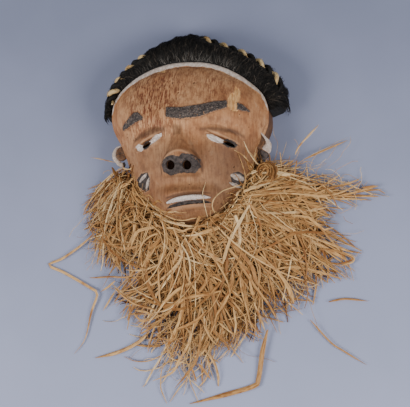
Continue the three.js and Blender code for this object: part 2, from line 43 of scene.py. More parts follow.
# Dome of the face, as in the part's source.
CROWN_HEIGHT = 82
EDGE_HEIGHT = 30
EDGE_RISE = 18
DOME_POWER = 2.4
DOME_ROUNDING = 0.7
DOME_ROUNDING_RISE = 0.12
RIM_BAND = 6.5
RIM_BAND_SIDE = 2.2
RIM_BAND_DROP = 2.5
WALL_FLARE = 2
WALL = 9

# Fineness of the face's mesh: half the cells across its front, and rings on its other sides.
FRONT_HALF = 118
BAND_RINGS = 4
WALL_RINGS = 12
HOLLOW_RINGS = 18

# Broad forms of the face, as (height, x, half width, y, half length). Sockets and cheeks are pairs.
BROW_FORM = (4.5, 0, 78, 19, 17)
SOCKET_FORM = (-3, 42, 24, -2, 9)
CHEEK_FORM = (-2.5, 50, 18, -34, 13)
MUZZLE_FORM = (18, 1, 38, -79, 19)

# Where rain and handling have opened the grain, as (strength, x, half width, y, half length).
WEATHERED = [(1, -36, 33, 38, 44), (0.4, 14, 20, 58, 26), (0.5, 40, 16, 50, 20)]

# Knife marks, grain and ragged edges, each as (blob size along X, Y and Z, seed).
FACETS = ((8, 12, 8), 41)
SMALL_FACETS = ((3, 4, 3), 42)
OPEN_GRAIN = ((1.5, 26, 12), 43)
WALL_MARKS = ((6, 6, 9), 44)
GOUGE_CUTS = ((11, 11, 11), 45)
BROW_EDGE = ((3, 3, 1), 30)
POCKS = ((2.4, 2.0, 1), 31)
SMALL_POCKS = ((1.1, 1, 1), 29)
CHIP_EDGE = ((2, 4, 1), 32)
SPLINTERS = ((1.4, 9, 1), 33)
RIM_EDGE = ((5, 5, 1), 34)
EAR_ROUGHNESS = ((1, 1, 1), 51)

# Nose, with its tilted nostril plane.
NOSE_X = -3
NOSE_TOP = 4
NOSE_TIP = -25
NOSE_FOOT = -45.5
NOSE_HEIGHT = 18
NOSE_FOOT_STEP = 4
NOSE_TOP_HALF = 6
NOSE_WING_HALF = 22
NOSE_ARC = 11
NOSTRILS = [(-13.2, -37.2), (4.4, -38)]
NOSTRIL_RADIUS = 5
NOSTRIL_DEPTH = 14
NOSTRIL_LEAN = 12
NOSTRIL_PLANE = [
    (-24.2, -33.9), (-15, -29.6), (-8.4, -29.1), (-3.4, -30.8), (1.4, -28.2), (13, -28.4),
    (18, -31.2), (18.6, -39.8), (12.2, -45.6), (-3.6, -45.2), (-14.7, -46.9), (-22.3, -42.4),
]
NOSE_ROUNDING = 1.6
NOSE_FOOT_FADE = (-3.6, 1.6)

# Eyes: side, lid centre, then the sunk opening and the pierced slit as (x, y, half length).
LID_HALF = 19
LID_RISE = 10
LID_BULGE = 3.8
LID_TILT = 21
EYES = [
    {"side": -1, "lid": (-41, -6), "opening": (-40, -8.8, 17), "slit": (-42, -10.6, 5.6)},
    {"side": 1, "lid": (41, -6), "opening": (39, -8.6, 17), "slit": (47, -12, 6)},
]
OPENING_RISE = 3.4
SLIT_RISE = 2.2
EYE_WHITES = [
    [(-56, -10.2), (-51, -8.9), (-46.2, -10.2), (-45.6, -15), (-49, -16.6), (-53.5, -14.4)],
    [(-40.6, -9), (-36, -4.8), (-30.5, -2), (-23.6, -0.4), (-23.6, -3.8), (-28.2, -7.2), (-35, -10.9),
     (-38.6, -12)],
    [(24.6, -3.4), (30.2, -3.5), (36.4, -5.9), (42, -9), (41, -12.6), (35.2, -12.5), (29.1, -10.4),
     (25.4, -7.1)],
]
EYE_DARKS = [
    [(-47.5, -10.8), (-42.8, -6.8), (-36.8, -5.8), (-36.4, -11.6), (-41.8, -15.6), (-46, -15.6)],
    [(39.2, -8.8), (44.2, -7.4), (52, -9), (55.5, -11.8), (52.4, -15.9), (46, -16.6), (40.4, -13.2)],
]
# Painted shade in the fold over each lid, as (x, lower y, upper y) stations.
EYE_SHADES = [
    [(-58, -4.5, -2.5), (-48, -3.8, 1.6), (-37, -2.2, 4.7), (-28, -0.8, 5.2), (-20.5, 2.1, 4.7)],
    [(18, 0.8, 2.6), (23, 0, 2.9), (38, -0.6, 3.6), (53, -0.8, 3.2), (62, -2.8, -1.8)],
]
OPENING_DEPTH = 1.3
OPENING_TURN = 0.93
EYEBALL_SWELL = 1.2
LID_FOLD_DEPTH = 0.35
LID_FOLD_WIDTH = 2.2
LOWER_LID_RAISE = 0.9
LOWER_LID_DROP = 8
LOWER_LID_WIDTH = 1.8

# Brow band: three stretches, as (x, lower y, upper y) stations.
BROWS = [
    [(-72, 10, 13.5), (-63, 10.8, 20), (-56, 13, 25.3), (-51, 14, 25), (-44, 15.5, 18)],
    [(-18.5, 15, 26.8), (-3, 12.4, 25.4), (18.5, 13.7, 28.4), (34, 20.4, 32.4), (46.5, 25.3, 34.5)],
    [(56, 24, 33), (62, 23.5, 31), (69, 23.5, 25)],
]
BROW_RAISE = 1.6
POCK_DEPTH = 0.7

# Mouth bars follow one drooping line; each is (lower edge, upper edge) from it.
MOUTH_X = 3.5
MOUTH_Y = -71.8
MOUTH_HALF = 24
MOUTH_DROOP = 1
MOUTH_SLOPE = 0.1
UPPER_LIP = (-2.6, 2.6)
MOUTH_SLOT = (-6.2, -2.4)
LOWER_LIP = (-10.8, -6.2)
MOUTH_GROOVE = (2.9, 6.2)
LIP_RAISE = 3.4
LOWER_LIP_RAISE = 1.3
MOUTH_SLOT_DEPTH = 3.6
MOUTH_GROOVE_DEPTH = 0.9

# Cheek marks as (x, y, turn, half length, half width), each standing in a dark hollow.
MARKS = [
    (-49.5, -43, 28, 6.6, 2.1), (-43.6, -50.5, 66, 6.6, 2.1),
    (54, -44.8, -3, 6.6, 3.5), (51, -53.2, -12, 5.4, 2),
]
MARK_RAISE = 3.8
MARK_HOLLOW_DEPTH = 2
MARK_HOLLOWS = [
    [(-59, -42), (-51, -38), (-42, -38.5), (-39, -45.6), (-41.5, -57.5), (-48, -58), (-57, -50)],
    [(46.6, -45), (50, -40.8), (55, -38.4), (61, -41), (67, -45), (63.5, -52), (56, -56), (48, -55)],
]

# Bare wood where the surface has broken away, old stains, and the patch of painted shadow low on the right
# jaw.
CHIP = [
    (52.6, 55.1), (58.1, 50.3), (58.7, 40.5), (57.1, 33.6), (57, 22.5), (52.5, 21.5),
    (47, 26.1), (46.5, 37.7), (49.3, 44.8), (52.3, 45.1),
]
RIM_CHIP = [(-36, 83.5), (-27, 83.5), (-25.3, 74.3), (-31, 77), (-34.1, 75.3)]
STAIN = [(-11.7, 7.4), (-0.8, 6.9), (-1.1, -5.7), (-12.1, -5)]
PITS = [(-14.1, 58.5), (9.5, 57.1), (-6.9, 44.7), (36.4, -74)]
JAW_SHADE = [(48, -62), (56, -56), (66, -52), (64, -60), (52, -68)]
CHIP_DEPTH = 0.9
SPLINTER_DEPTH = 0.5
RIM_CHIP_DEPTH = 0.7
PIT_DEPTH = 1.6
PIT_SPREAD = 0.9

# Distances from an edge of paint are stored up to this.
PAINT_LIMIT = 6.0

# Ears: the rim's middle line as (x, y, half width), its top and bottom level, where its dark end
# starts, and the bowl as (x, y, half width, level).
EARS = {
    "ear_left": {
        "rim": [(-79.5, 0.4, 0.8), (-84.8, -2, 1.3), (-87.4, -6.8, 2.2), (-87.6, -11.7, 2.6),
                (-85, -16.2, 2.6), (-80.5, -20.2, 2.8), (-76, -20, 2.4)],
        "levels": (29, 25),
        "dark_end": 0.93,
        "bowl": (-79.2, -8, 7, 27),
    },
    "ear_right": {
        "rim": [(73.5, 10.1, 0.8), (79.1, 5.6, 0.9), (83.3, 0.6, 1.6), (86, -5, 3.2), (84.5, -10, 5.2),
                (81.5, -14.2, 5), (82, -18.5, 4), (79, -22, 2)],
        "levels": (38, 31),
        "dark_end": 0.74,
        "bowl": (76.6, -2.6, 7, 33),
    },
}
EAR_RIM_DEPTH = 2.4
EAR_STEPS = 56
EAR_SIDES = 18
BOWL_ROWS = 16
BOWL_SIDES = 36
BOWL_STRETCH = 1.25

# Holes through the jaw wall for the beard's lashing.
LASHING_FROM = 205
LASHING_TO = 335
LASHING_COUNT = 6
LASHING_HEIGHT = 8
LASHING_RADIUS = 2.2

# Wig: how far it stands out from the outline, every 1/8 of the way from its left end.
WIG_FROM = 160
WIG_TO = 21
WIG_REACH = [10, 17, 24, 32, 38.5, 31, 30, 29, 20]
WIG_RIBS = 18
WIG_CREST = 4
WIG_GAP = 0.35

# The wig's felt ground, and its pile in two layers; down counts from 0 at the rim to 6 at the floor.
FELT_STATIONS = 150
FELT_ROWS = 26
FELT_DEPTH = 1.6
FELT_END_DEPTH = 2.4
PILE_POINTS = 6
PILE_LENGTH = (7, 15)
PILES = [
    {"name": "coiffure_pile", "count": 4300, "down": (0.0, 3.0), "width": (0.35, 0.6), "lift": (0.4, 2.0),
     "seed": 71},
    {"name": "coiffure_fringe", "count": 2900, "down": (1.6, 4.2), "width": (0.3, 0.5), "lift": (0.8, 2.8),
     "seed": 72},
]

# Where the cord shows, this share of the fibres ends above it: how far down, and how much less at the left.
PILE_OFF_CORD = 0.94
PILE_END = 1.9
PILE_END_LEFT = 0.65

# Twisted two-ply cord along the wig's outer edge.
PLY_RADIUS = 2.7
CORD_HELIX = 3.1
CORD_PITCH = 16.6
CORD_FROM = 0.05
CORD_TO = 0.95
CORD_HEIGHT = 33
CORD_INSET = 6
CORD_LEFT = {"inset": 3.2, "rise": 6, "from": 0.4, "to": 0.28}
CORD_SHOWS = [(0.04, 0.315), (0.545, 0.93)]
CORD_PITCH_GROWTH = 8.3
CORD_FIRST_TURN = 0.9
CORD_DIP_IN = 3
CORD_DIP_DOWN = 7
PLY_STEPS = 520
PLY_SIDES = 16
YARN_GROOVES = 3.5
YARN_TWIST = 150
YARN_GROOVE_DEPTH = 0.16
YARN_ROUGHNESS = 0.05
FUZZ_HAIRS = 420
FUZZ_POINTS = 5
FUZZ_WIDTH = 0.22

# Rolled collar cord along the jaw.
COLLAR_RADIUS = 6.5
COLLAR_FROM = -24
COLLAR_TO = -158
COLLAR_HEIGHT = 16
ROLL_STRIPS = 120
ROLL_POINTS = 34

# Coil at the collar's right end: its centre, half width, half height and level.
COIL_X = 82
COIL_Y = -38
COIL_HALF_WIDTH = 11
COIL_HALF_HEIGHT = 13
COIL_LEVEL = 30
COIL_STRIPS = 90
COIL_POINTS = 22
COIL_RIDE = 6

# Flow of the beard round the jaw, from the left ear to the right one, as lines across it.
FLOW = [
    [(-83, -21), (-104, -43), (-116, -71), (-111, -88)],
    [(-78, -27), (-89, -61), (-97, -98), (-86, -127)],
    [(-64, -42), (-69, -80), (-76, -110), (-61, -138)],
    [(-52, -54), (-49, -87), (-47, -118), (-55, -155)],
    [(-36, -73), (-34, -105), (-20, -133), (-36, -161), (-58, -178)],
    [(-22, -92), (-20, -116), (-11, -158), (-35, -198)],
    [(-9, -99), (-4, -128), (16, -164), (-10, -205), (-20, -232)],
    [(8, -97), (12, -123), (27, -165), (14, -205), (0, -232)],
    [(18, -93), (39, -118), (50, -154), (44, -185), (28, -205)],
    [(26, -86), (55, -113), (78, -150), (75, -190)],
    [(32, -82), (66, -104), (102, -139), (116, -172)],
    [(39, -77), (79, -89), (118, -123), (142, -158)],
    [(46, -72), (93, -80), (129, -104), (162, -137)],
    [(53, -68), (98, -69), (138, -85), (166, -96)],
    [(58, -56), (104, -52), (146, -57), (190, -53)],
    [(63, -44), (109, -37), (151, -42), (178, -36)],
    [(67, -34), (98, -22), (120, -26), (140, -31)],
]

# Height of the beard's top: angle round the jaw, how far it reaches, and how high it starts.
BEARD_ANGLES = [-175, -150, -120, -95, -70, -45, -20]
BEARD_REACH = [30, 62, 110, 165, 140, 120, 95]
BEARD_ROOT = [28, 38, 50, 54, 52, 44, 30]
BEARD_FLOOR = 4

# How far strands may lie over the wood, round the jaw.
RIDE_ANGLES = [-165, -140, -124, -112, -70, -60, -45, -25]
RIDE_REACH = [8, 19, 15, 3, 3, 13, 21, 12]

# Thickness of a fibre's ridge over its flat underside.
FIBRE_DEPTH = 0.16

# Hanks of the beard, as (node, first flow line, last flow line, locks, strands).
HANKS = [
    ("raffia_left", 0.0, 4.6, 48, 420),
    ("raffia_chin", 4.4, 9.2, 52, 480),
    ("raffia_right", 9.0, 16.0, 74, 640),
]
STRAND_POINTS = 20
ROOT_POINTS = 4
FRINGE_LIMIT = 13
TANGLE_STRANDS = 260
FRIZZ_HAIRS = 420
FRIZZ_WIDTH = 0.45
BAND_STRIPS = 170
BAND_SHADE = 0.75
WISPS = 70
HAIR_WIDTH = 0.5
HAIR_HEIGHT = 9

# Strands of a lock lean and curl much alike: how much they share, and what each has of its own.
LOCK_SHARED = 0.95
LOCK_OWN = 0.17
SCATTERED_SHARE = 0.13

# How strands of each kind run: lean off the flow's way, curl, stray a step, and pull of the flow.
LOCK_RUN = (0.45, 0.02, 0.042, 0.09)
TANGLE_RUN = (1, 0.03, 0.2, 0.05)
FRIZZ_RUN = (1, 0.06, 0.14, 0.04)
BAND_RUN = (0.5, 0.016, 0.05, 0.05)
WISP_RUN = (0.3, 0.016, 0.12, 0.03)

# Length of strands of each kind along their run, shortest and longest.
LOCK_REACH = (80, 210)
SCATTERED_REACH = (40, 110)
TANGLE_REACH = (24, 62)
FRIZZ_REACH = (12, 42)
BAND_REACH = (45, 125)
WISP_REACH = (38, 88)

# Sharp kinks in a strand: how often at a step, and how far it turns.
KINK_CHANCE = 0.035
KINK_TURN = 0.85

# Width of a strand: mean and spread of its logarithm, then the narrowest and the broadest.
WIDTH_MEAN = 0.3
WIDTH_SPREAD = 0.46
WIDTH_LIMITS = (0.6, 3.8)

# Edge of the beard, where its strands end.
BEARD_EDGE = [
    (-84, -20), (-108, -38), (-119, -59), (-112, -85), (-107, -108), (-96, -127), (-84, -123), (-75, -108),
    (-64, -114), (-59, -135), (-77, -150), (-92, -156), (-81, -173), (-61, -190), (-47, -209), (-21, -217),
    (12, -224), (37, -218), (74, -197), (99, -179), (119, -172), (129, -161), (140, -147), (165, -140),
    (170, -126), (155, -109), (137, -92), (134, -70), (150, -62), (174, -60), (203, -50), (196, -46),
    (160, -51), (146, -50), (128, -47), (112, -41), (96, -34), (80, -22), (0, 0),
]

# Strands that the eye picks out on top of the beard, as (width, points).
TOP_STRANDS = [
    (1.6, [(-128, -71), (-121, -57), (-112, -48)]),
    (2.0, [(-118, -86), (-106, -84), (-93, -88), (-80, -94)]),
    (2.4, [(-95, -91), (-102, -101), (-96, -110), (-89, -119), (-74, -130), (-59, -137), (-46, -141)]),
    (1.8, [(-92, -33), (-81, -47), (-71, -47), (-63, -40), (-52, -33)]),
    (1.8, [(-64, -46), (-58, -57), (-51, -66), (-40, -81)]),
    (2.0, [(-45, -53), (-35, -64), (-31, -76), (-27, -92)]),
    (2.0, [(-82, -50), (-81, -66), (-82, -82), (-81, -102), (-71, -116)]),
    (3.5, [(-30, -96), (-45, -98), (-56, -100), (-62, -108), (-66, -117)]),
    (2.6, [(-25, -103), (-41, -106), (-52, -114), (-56, -127), (-59, -136)]),
    (4.0, [(-29, -108), (-35, -114), (-46, -121)]),
    (4.0, [(-2, -110), (-11, -126), (-18, -139)]),
    (3.5, [(15, -83), (9, -99), (3, -110), (-2, -119)]),
    (4.0, [(35, -100), (20, -104), (9, -108), (-1, -117)]),
    (3.0, [(10, -110), (18, -120), (33, -133)]),
    (1.8, [(97, -34), (90, -46), (85, -58)]),
    (1.4, [(116, -21), (114, -32), (111, -43)]),
    (2.2, [(182, -42), (171, -46), (149, -52), (132, -60), (107, -66)]),
    (2.2, [(203, -50), (175, -57), (149, -62)]),
    (3.0, [(109, -51), (120, -51), (132, -54)]),
    (2.0, [(122, -65), (130, -81), (133, -91), (139, -96)]),
    (2.4, [(71, -69), (95, -73), (124, -78), (131, -86)]),
    (2.2, [(45, -97), (71, -94), (91, -98), (106, -105)]),
    (2.4, [(60, -125), (80, -121), (102, -109), (119, -101), (134, -95)]),
    (2.4, [(137, -120), (153, -120), (170, -127), (172, -131), (156, -136)]),
    (4.2, [(44, -114), (56, -126), (67, -141), (71, -156), (84, -170)]),
    (3.0, [(38, -116), (50, -130), (62, -146), (68, -160), (76, -172)]),
    (5.0, [(6, -156), (-14, -165), (-30, -178), (-38, -188)]),
    (4.4, [(34, -165), (16, -169), (-7, -173), (-23, -185), (-34, -194)]),
    (4.4, [(46, -144), (44, -159), (37, -176), (28, -189), (25, -198)]),
    (5.0, [(33, -157), (15, -175), (2, -186), (-6, -196)]),
    (2.0, [(-87, -150), (-97, -156), (-106, -160)]),
    (2.4, [(-88, -158), (-66, -175), (-41, -184), (-36, -195)]),
    (2.2, [(-66, -186), (-57, -194), (-42, -194)]),
    (2.2, [(-64, -183), (-50, -186), (-40, -192)]),
    (2.2, [(-119, -144), (-93, -145), (-71, -147), (-50, -141)]),
    (4.0, [(-17, -205), (-7, -202), (7, -195), (17, -185)]),
    (2.4, [(3, -198), (-5, -221), (-16, -238), (-24, -250), (-47, -259)]),
    (2.6, [(10, -200), (8, -220), (3, -237), (-4, -247), (-22, -267)]),
    (2.6, [(13, -201), (23, -219), (36, -224)]),
    (2.0, [(-32, -216), (-22, -233), (-13, -215)]),
    (1.8, [(-40, -209), (-35, -214), (-20, -215), (-16, -205)]),
    (1.6, [(-26, -197), (-19, -217)]),
    (2.2, [(45, -182), (47, -200), (44, -215)]),
    (2.0, [(29, -198), (44, -210), (50, -208)]),
    (1.8, [(57, -191), (59, -206)]),
    (2.0, [(67, -177), (73, -193), (78, -208)]),
    (2.4, [(18, -218), (8, -233)]),
    (2.6, [(5, -241), (18, -258)]),
    (2.0, [(-2, -246), (2, -261)]),
]

# Strands that lie over the wood itself, as (width, points).
FACE_STRANDS = [
    (0.9, [(22, -54), (20, -67), (21, -83), (22, -102)]),
    (1.5, [(52, -18), (62, -23), (69, -34), (77, -44), (85, -54)]),
    (1.2, [(69, -44), (53, -54), (38, -62), (28, -76), (31, -86), (44, -95)]),
    (2.2, [(62, -55), (53, -61), (41, -68)]),
]

# Fine hairs that stand clear of the beard at the upper right, each as its points.
HAIRS = [
    [(140, 21), (132, 11), (118, -3), (115, -13)],
    [(107, -31), (120, -20), (134, -12), (150, -5), (161, 1), (172, 5)],
    [(174, 6), (174, -1), (166, -11), (161, -19), (149, -28)],
    [(161, 0), (155, -10), (148, -20)],
    [(104, 3), (97, -19)],
    [(89, 21), (90, 11), (94, 1), (91, -13)],
]

# Long loose strands clear of the beard, as (width, points with heights).
LOOSE_STRANDS = [
    (3.0, [(-109, -89, 8), (-129, -106, 5), (-152, -121, 3), (-168.2, -128, 2), (-150, -137, 2),
           (-119, -155, 3), (-110.5, -162.4, 4), (-117, -182, 3), (-124, -212, 2), (-136, -228, 2)]),
    (2.0, [(-90, -160, 5), (-104, -181, 2)]),
    (4.4, [(-50, -205, 7), (-64, -217, 4), (-86, -227, 2.5), (-112, -233, 2)]),
    (2.2, [(-38, -221, 3), (-52, -221, 3), (-67, -219.4, 2)]),
    (5.4, [(80, -205, 6), (74.3, -227.3, 5), (69.3, -256.8, 3), (64, -265, 3), (33, -274, 2.5),
           (-6, -283.4, 2)]),
    (1.8, [(126, -195, 4), (147, -219, 3), (162, -229.5, 2.5), (185, -243.8, 2)]),
    (2.2, [(146, -176, 4), (164, -173, 3), (188, -175.7, 2)]),
    (2.0, [(162, -122, 6), (173.6, -128, 5), (172.3, -133.3, 4), (158, -137, 4)]),
    (2.4, [(186, -52, 7), (194, -51, 7), (202.2, -50.5, 7)]),
    (2.0, [(123, -18, 9), (146, -7.5, 6), (171.5, 3.7, 3)]),
    (1.8, [(114, -15, 20), (120, -6, 26), (140.4, 14.8, 30)]),
    (1.0, [(-88, -17, 24), (-105, -12.3, 24), (-115.8, -10.6, 26)]),
    (2.0, [(7, -236, 4), (8, -250, 3), (7.7, -262, 2)]),
]

# Camera at the photograph's viewing angle, its target on the mask's own axes and its way off in metres.
CAMERA_LENS = 100
CAMERA_TILT_RIGHT = 9
CAMERA_TILT_CHIN = 12
CAMERA_TARGET = (10.55, -62.29, 0)
CAMERA_DISTANCE = 1.276

# Floor and light, in metres and watts.
FLOOR_REACH = 4.0
BOX_PLACE = (1.05, -0.45, 1.05)
BOX_SIZE = 0.7
BOX_POWER = 21
BOX_COLOUR = (1.0, 0.98, 0.95)
AIR_COLOUR = (0.88, 0.92, 1.0, 1)
AIR_STRENGTH = 0.38

# Display colours of the wood and of what lies on it.
WOOD_TONES = {
    "stain": "A57049", "pale stain": "C09067", "dark mottle": "7D5237", "pale mottle": "C39A75",
    "grain": "7A4829", "open grain": "6E3722", "bleached": "D2A47A", "dirt": "5E3D28",
    # Here come painted shade for the carving's recesses, a light edge colour that is wear and painted
    # highlight, and a dark colour for old stains and painted shade.
    "hollows": "4A2E1E", "edges": "CFA079", "stain_and_shade": "452D1E", "pinholes": "2E1A10",
    "broken": "DDAE77", "broken grain": "B9824E", "black": "2C2726", "pale black": "514743",
    "rubbed black": "9A8C80", "white": "DDD2CB", "dull white": "B4A398", "stained white": "8F7058",
    # Next: grimy white, then near-black painted shade for deep holes.
    "grimy white": "96816F", "holes": "0B0807",
}

# Display colours of the fibres from their darkest strand to their palest.
RAFFIA_TONES = [(0.0, "573619"), (0.2, "8F6337"), (0.45, "B58853"), (0.7, "CEA770"), (1.0, "E6CB9C")]
RAFFIA_SHADE = "A57A52"
BLACK_TONES = [(0.0, "0E0D0D"), (0.55, "1F1D1B"), (0.88, "3A332D"), (1.0, "5A5148")]
BLACK_SHADE = "B0A8A0"
# Grey for kaolin dust and painted sheen on the black pile near the rim.
DUST_AND_SHEEN_TONE = "8D8882"
CREAM_TONES = [(0.0, "B79B6C"), (0.5, "D0B98C"), (1.0, "E0CDA6")]
CREAM_SHADE = "B89A70"
FELT_TONES = ("0B0B0B", "23201E")
# The floor's near and far colours: a painted light fall-off.
FLOOR_FALLOFF_TONES = ("999FBA", "747A92")


# Small maths

def soft_step(value, start, end):
    part = np.clip((value - start) / (end - start), 0, 1)
    return part * part * (3 - 2 * part)


def soft_min(first, second, radius):
    """The lower of two heights, with their crossing rounded."""
    blend = np.clip(0.5 + 0.5 * (second - first) / radius, 0, 1)
    return second + (first - second) * blend - radius * blend * (1 - blend)


def smooth_curve(points, places):
    """Points on the smooth curve through some points; a place of 1.5 is midway from 1 to 2."""
    points = np.asarray(points, float)
    last = len(points) - 1
    places = np.asarray(places, float)
    first = np.clip(np.floor(places).astype(int), 0, last - 1)
    part = (places - first)[..., None] if points.ndim > 1 else places - first
    before, start = points[np.clip(first - 1, 0, last)], points[first]
    end, after = points[first + 1], points[np.clip(first + 2, 0, last)]
    slope = 2 * before - 5 * start + 4 * end - after
    bend = 3 * (start - end) + after - before
    return start + 0.5 * part * (end - before + part * (slope + part * bend))


def resample(points, count):
    """Points at even steps along the smooth curve through some points."""
    fine = smooth_curve(points, np.linspace(0, len(points) - 1, 20 * len(points)))
    travelled = np.concatenate([[0], np.cumsum(np.linalg.norm(np.diff(fine, axis=0), axis=1))])
    marks = np.linspace(0, travelled[-1], count)
    return np.stack([np.interp(marks, travelled, column) for column in fine.T], axis=1)


def lattice_noise(points, seed):
    """Smooth random values from -1 to 1 at points given in lattice cells."""
    table = np.random.default_rng(seed).uniform(-1, 1, 4096)
    low = np.floor(points).astype(np.int64)
    part = points - low
    part = part * part * (3 - 2 * part)
    total = np.zeros(points.shape[:-1])
    for corner in np.ndindex(2, 2, 2):
        cell = low + corner
        key = (cell[..., 0] * 73 + cell[..., 1] * 1201 + cell[..., 2] * 2593) % 4096
        total += np.prod(np.where(corner, part, 1 - part), axis=-1) * table[key]
    return total


def noise_at(x, y, z, kind):
    """Noise over a surface, of a kind given as (blob size along X, Y and Z, seed)."""
    size, seed = kind
    return lattice_noise(np.stack([x / size[0], y / size[1], z / size[2]], axis=-1), seed)


def flat_noise(x, y, kind):
    return noise_at(x, y, 0 * x, kind)


def inside_distance(x, y, corners):
    """Distance from a closed outline, positive inside it."""
    corners = np.array(corners, float)
    nearest = np.full(np.shape(x), np.inf)
    inside = np.zeros(np.shape(x), bool)
    for (ax, ay), (bx, by) in zip(corners, np.roll(corners, -1, axis=0)):
        wide, high = bx - ax, by - ay
        run = np.clip(((x - ax) * wide + (y - ay) * high) / (wide**2 + high**2), 0, 1)
        nearest = np.minimum(nearest, np.hypot(x - ax - run * wide, y - ay - run * high))
        if ay != by:
            crosses = (ay > y) != (by > y)
            inside ^= crosses & (x < ax + (y - ay) * wide / high)
    return np.where(inside, nearest, -nearest)


def turned(x, y, centre, angle):
    """Places along and across a line through a centre at an angle."""
    along = (x - centre[0]) * np.cos(angle) + (y - centre[1]) * np.sin(angle)
    across = (y - centre[1]) * np.cos(angle) - (x - centre[0]) * np.sin(angle)
    return along, across


# Mesh helpers

def to_frame(points):
    return (np.asarray(points, float) + MASK_PLACE) * MILLIMETRE


def split_quads(quads):
    quads = np.asarray(quads)
    return np.concatenate([quads[:, [0, 1, 2]], quads[:, [0, 2, 3]]])


def new_mesh(name, points, triangles):
    mesh = bpy.data.meshes.new(name)
    triangles = np.ascontiguousarray(triangles, np.int32)
    mesh.vertices.add(len(points))
    mesh.vertices.foreach_set("co", to_frame(points).ravel())
    mesh.loops.add(triangles.size)
    mesh.loops.foreach_set("vertex_index", triangles.ravel())
    mesh.polygons.add(len(triangles))
    mesh.polygons.foreach_set("loop_start", np.arange(0, triangles.size, 3, dtype=np.int32))
    mesh.update(calc_edges=True)
    return mesh


def add_piece(name, mesh, material, replaced=(), crease=50):
    piece = bpy.data.objects.new(name, mesh)
    bpy.context.scene.collection.objects.link(piece)
    mesh.materials.clear()
    mesh.materials.append(material)
    mesh.polygons.foreach_set("use_smooth", np.ones(len(mesh.polygons), bool))
    mesh.set_sharp_from_angle(angle=radians(crease))
    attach(piece, BODY)
    if replaced:
        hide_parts(*replaced)
    return piece


def give(mesh, name, values):
    """Stores a number, or three, at every point of a mesh for its material."""
    values = np.asarray(values, np.float32)
    if values.ndim == 1:
        mesh.attributes.new(name, "FLOAT", "POINT").data.foreach_set("value", values)
    else:
        mesh.attributes.new(name, "FLOAT_VECTOR", "POINT").data.foreach_set("vector", values.ravel())


def ring_triangles(rings, count):
    """Triangles between closed rings of points that are stored one ring after another."""
    k = np.arange(count)
    after = (k + 1) % count
    low = (np.arange(rings - 1) * count)[:, None]
    quads = np.stack([low + k, low + count + k, low + count + after, low + after], axis=-1)
    return split_quads(quads.reshape(-1, 4))


def cap_rings(rings):
    """Closes rings of points (rings by count by 3) at both ends; returns points and triangles."""
    steps, sides = rings.shape[:2]
    points = np.concatenate([rings.reshape(-1, 3), [rings[0].mean(axis=0)], [rings[-1].mean(axis=0)]])
    k = np.arange(sides)
    after = (k + 1) % sides
    last = (steps - 1) * sides
    first_end = np.stack([np.full(sides, steps * sides), k, after], axis=1)
    last_end = np.stack([np.full(sides, steps * sides + 1), last + after, last + k], axis=1)
    return points, np.concatenate([ring_triangles(steps, sides), first_end, last_end])


def around(across, normal, angles):
    """Directions round a path, given its two cross directions at each point."""
    turned_across = across[:, None] * np.cos(angles)[None, :, None]
    return turned_across + normal[:, None] * np.sin(angles)[None, :, None]


def tube(path, radius, sides, ripple):
    """Points and triangles of a closed round tube along a path; ripple adds to its radius."""
    along = np.gradient(path, axis=0)
    along /= np.linalg.norm(along, axis=1, keepdims=True)
    across = np.cross(along, [0, 0, 1])
    across /= np.linalg.norm(across, axis=1, keepdims=True)
    angles = 2 * pi * np.arange(sides) / sides
    reach = radius[:, None] + ripple
    return cap_rings(path[:, None] + reach[..., None] * around(across, np.cross(across, along), angles))


def join(parts):
    """Joins sets of (points, triangles) into one."""
    points, triangles, start = [], [], 0
    for own_points, own_triangles in parts:
        points.append(own_points)
        triangles.append(own_triangles + start)
        start += len(own_points)
    return np.concatenate(points), np.concatenate(triangles)


def fibres(paths, widths, roll, fold, tint):
    """Closed flat fibres along many paths at once.

    paths is strands by points by 3, widths strands by points, tint one number a strand. A fibre's
    section has two edges and a low ridge. Returns points, triangles and each point's place
    (across, along, tint).
    """
    strands, count = paths.shape[:2]
    along = np.gradient(paths, axis=1)
    along /= np.linalg.norm(along, axis=2, keepdims=True) + 1e-9
    side = np.cross(along, [0, 0, 1.0])
    side /= np.linalg.norm(side, axis=2, keepdims=True) + 1e-9
    normal = np.cross(side, along)
    flat = side * np.cos(roll)[..., None] + normal * np.sin(roll)[..., None]
    rise = normal * np.cos(roll)[..., None] - side * np.sin(roll)[..., None]
    half = flat * widths[..., None] / 2
    ridge = rise * (fold[:, None, None] * widths[..., None] + FIBRE_DEPTH)
    points = np.stack([paths - half, paths + half, paths + ridge], axis=2).reshape(-1, 3)
    ends = np.array([[0, 1, 2], [3 * count - 3, 3 * count - 1, 3 * count - 2]])
    single = np.concatenate([ring_triangles(count, 3), ends])
    offsets = 3 * count * np.arange(strands)
    triangles = (offsets[:, None, None] + single[None]).reshape(-1, 3)
    step = np.linalg.norm(np.diff(paths, axis=1), axis=2)
    travelled = np.concatenate([np.zeros((strands, 1)), np.cumsum(step, axis=1)], axis=1)
    across = np.tile(np.array([-1.0, 1.0, 0.1]), (strands, count, 1))
    along_all = np.broadcast_to(travelled[..., None], across.shape)
    tints = np.broadcast_to(np.asarray(tint)[:, None, None], across.shape)
    return points, triangles, np.stack([across, along_all, tints], axis=-1).reshape(-1, 3)


# Materials

def tone(code):
    """Linear colour of a hexadecimal display colour."""
    values = np.array([int(code[k:k + 2], 16) for k in (0, 2, 4)]) / 255
    linear = np.where(values <= 0.04045, values / 12.92, ((values + 0.055) / 1.055) ** 2.4)
    return (*linear.tolist(), 1)


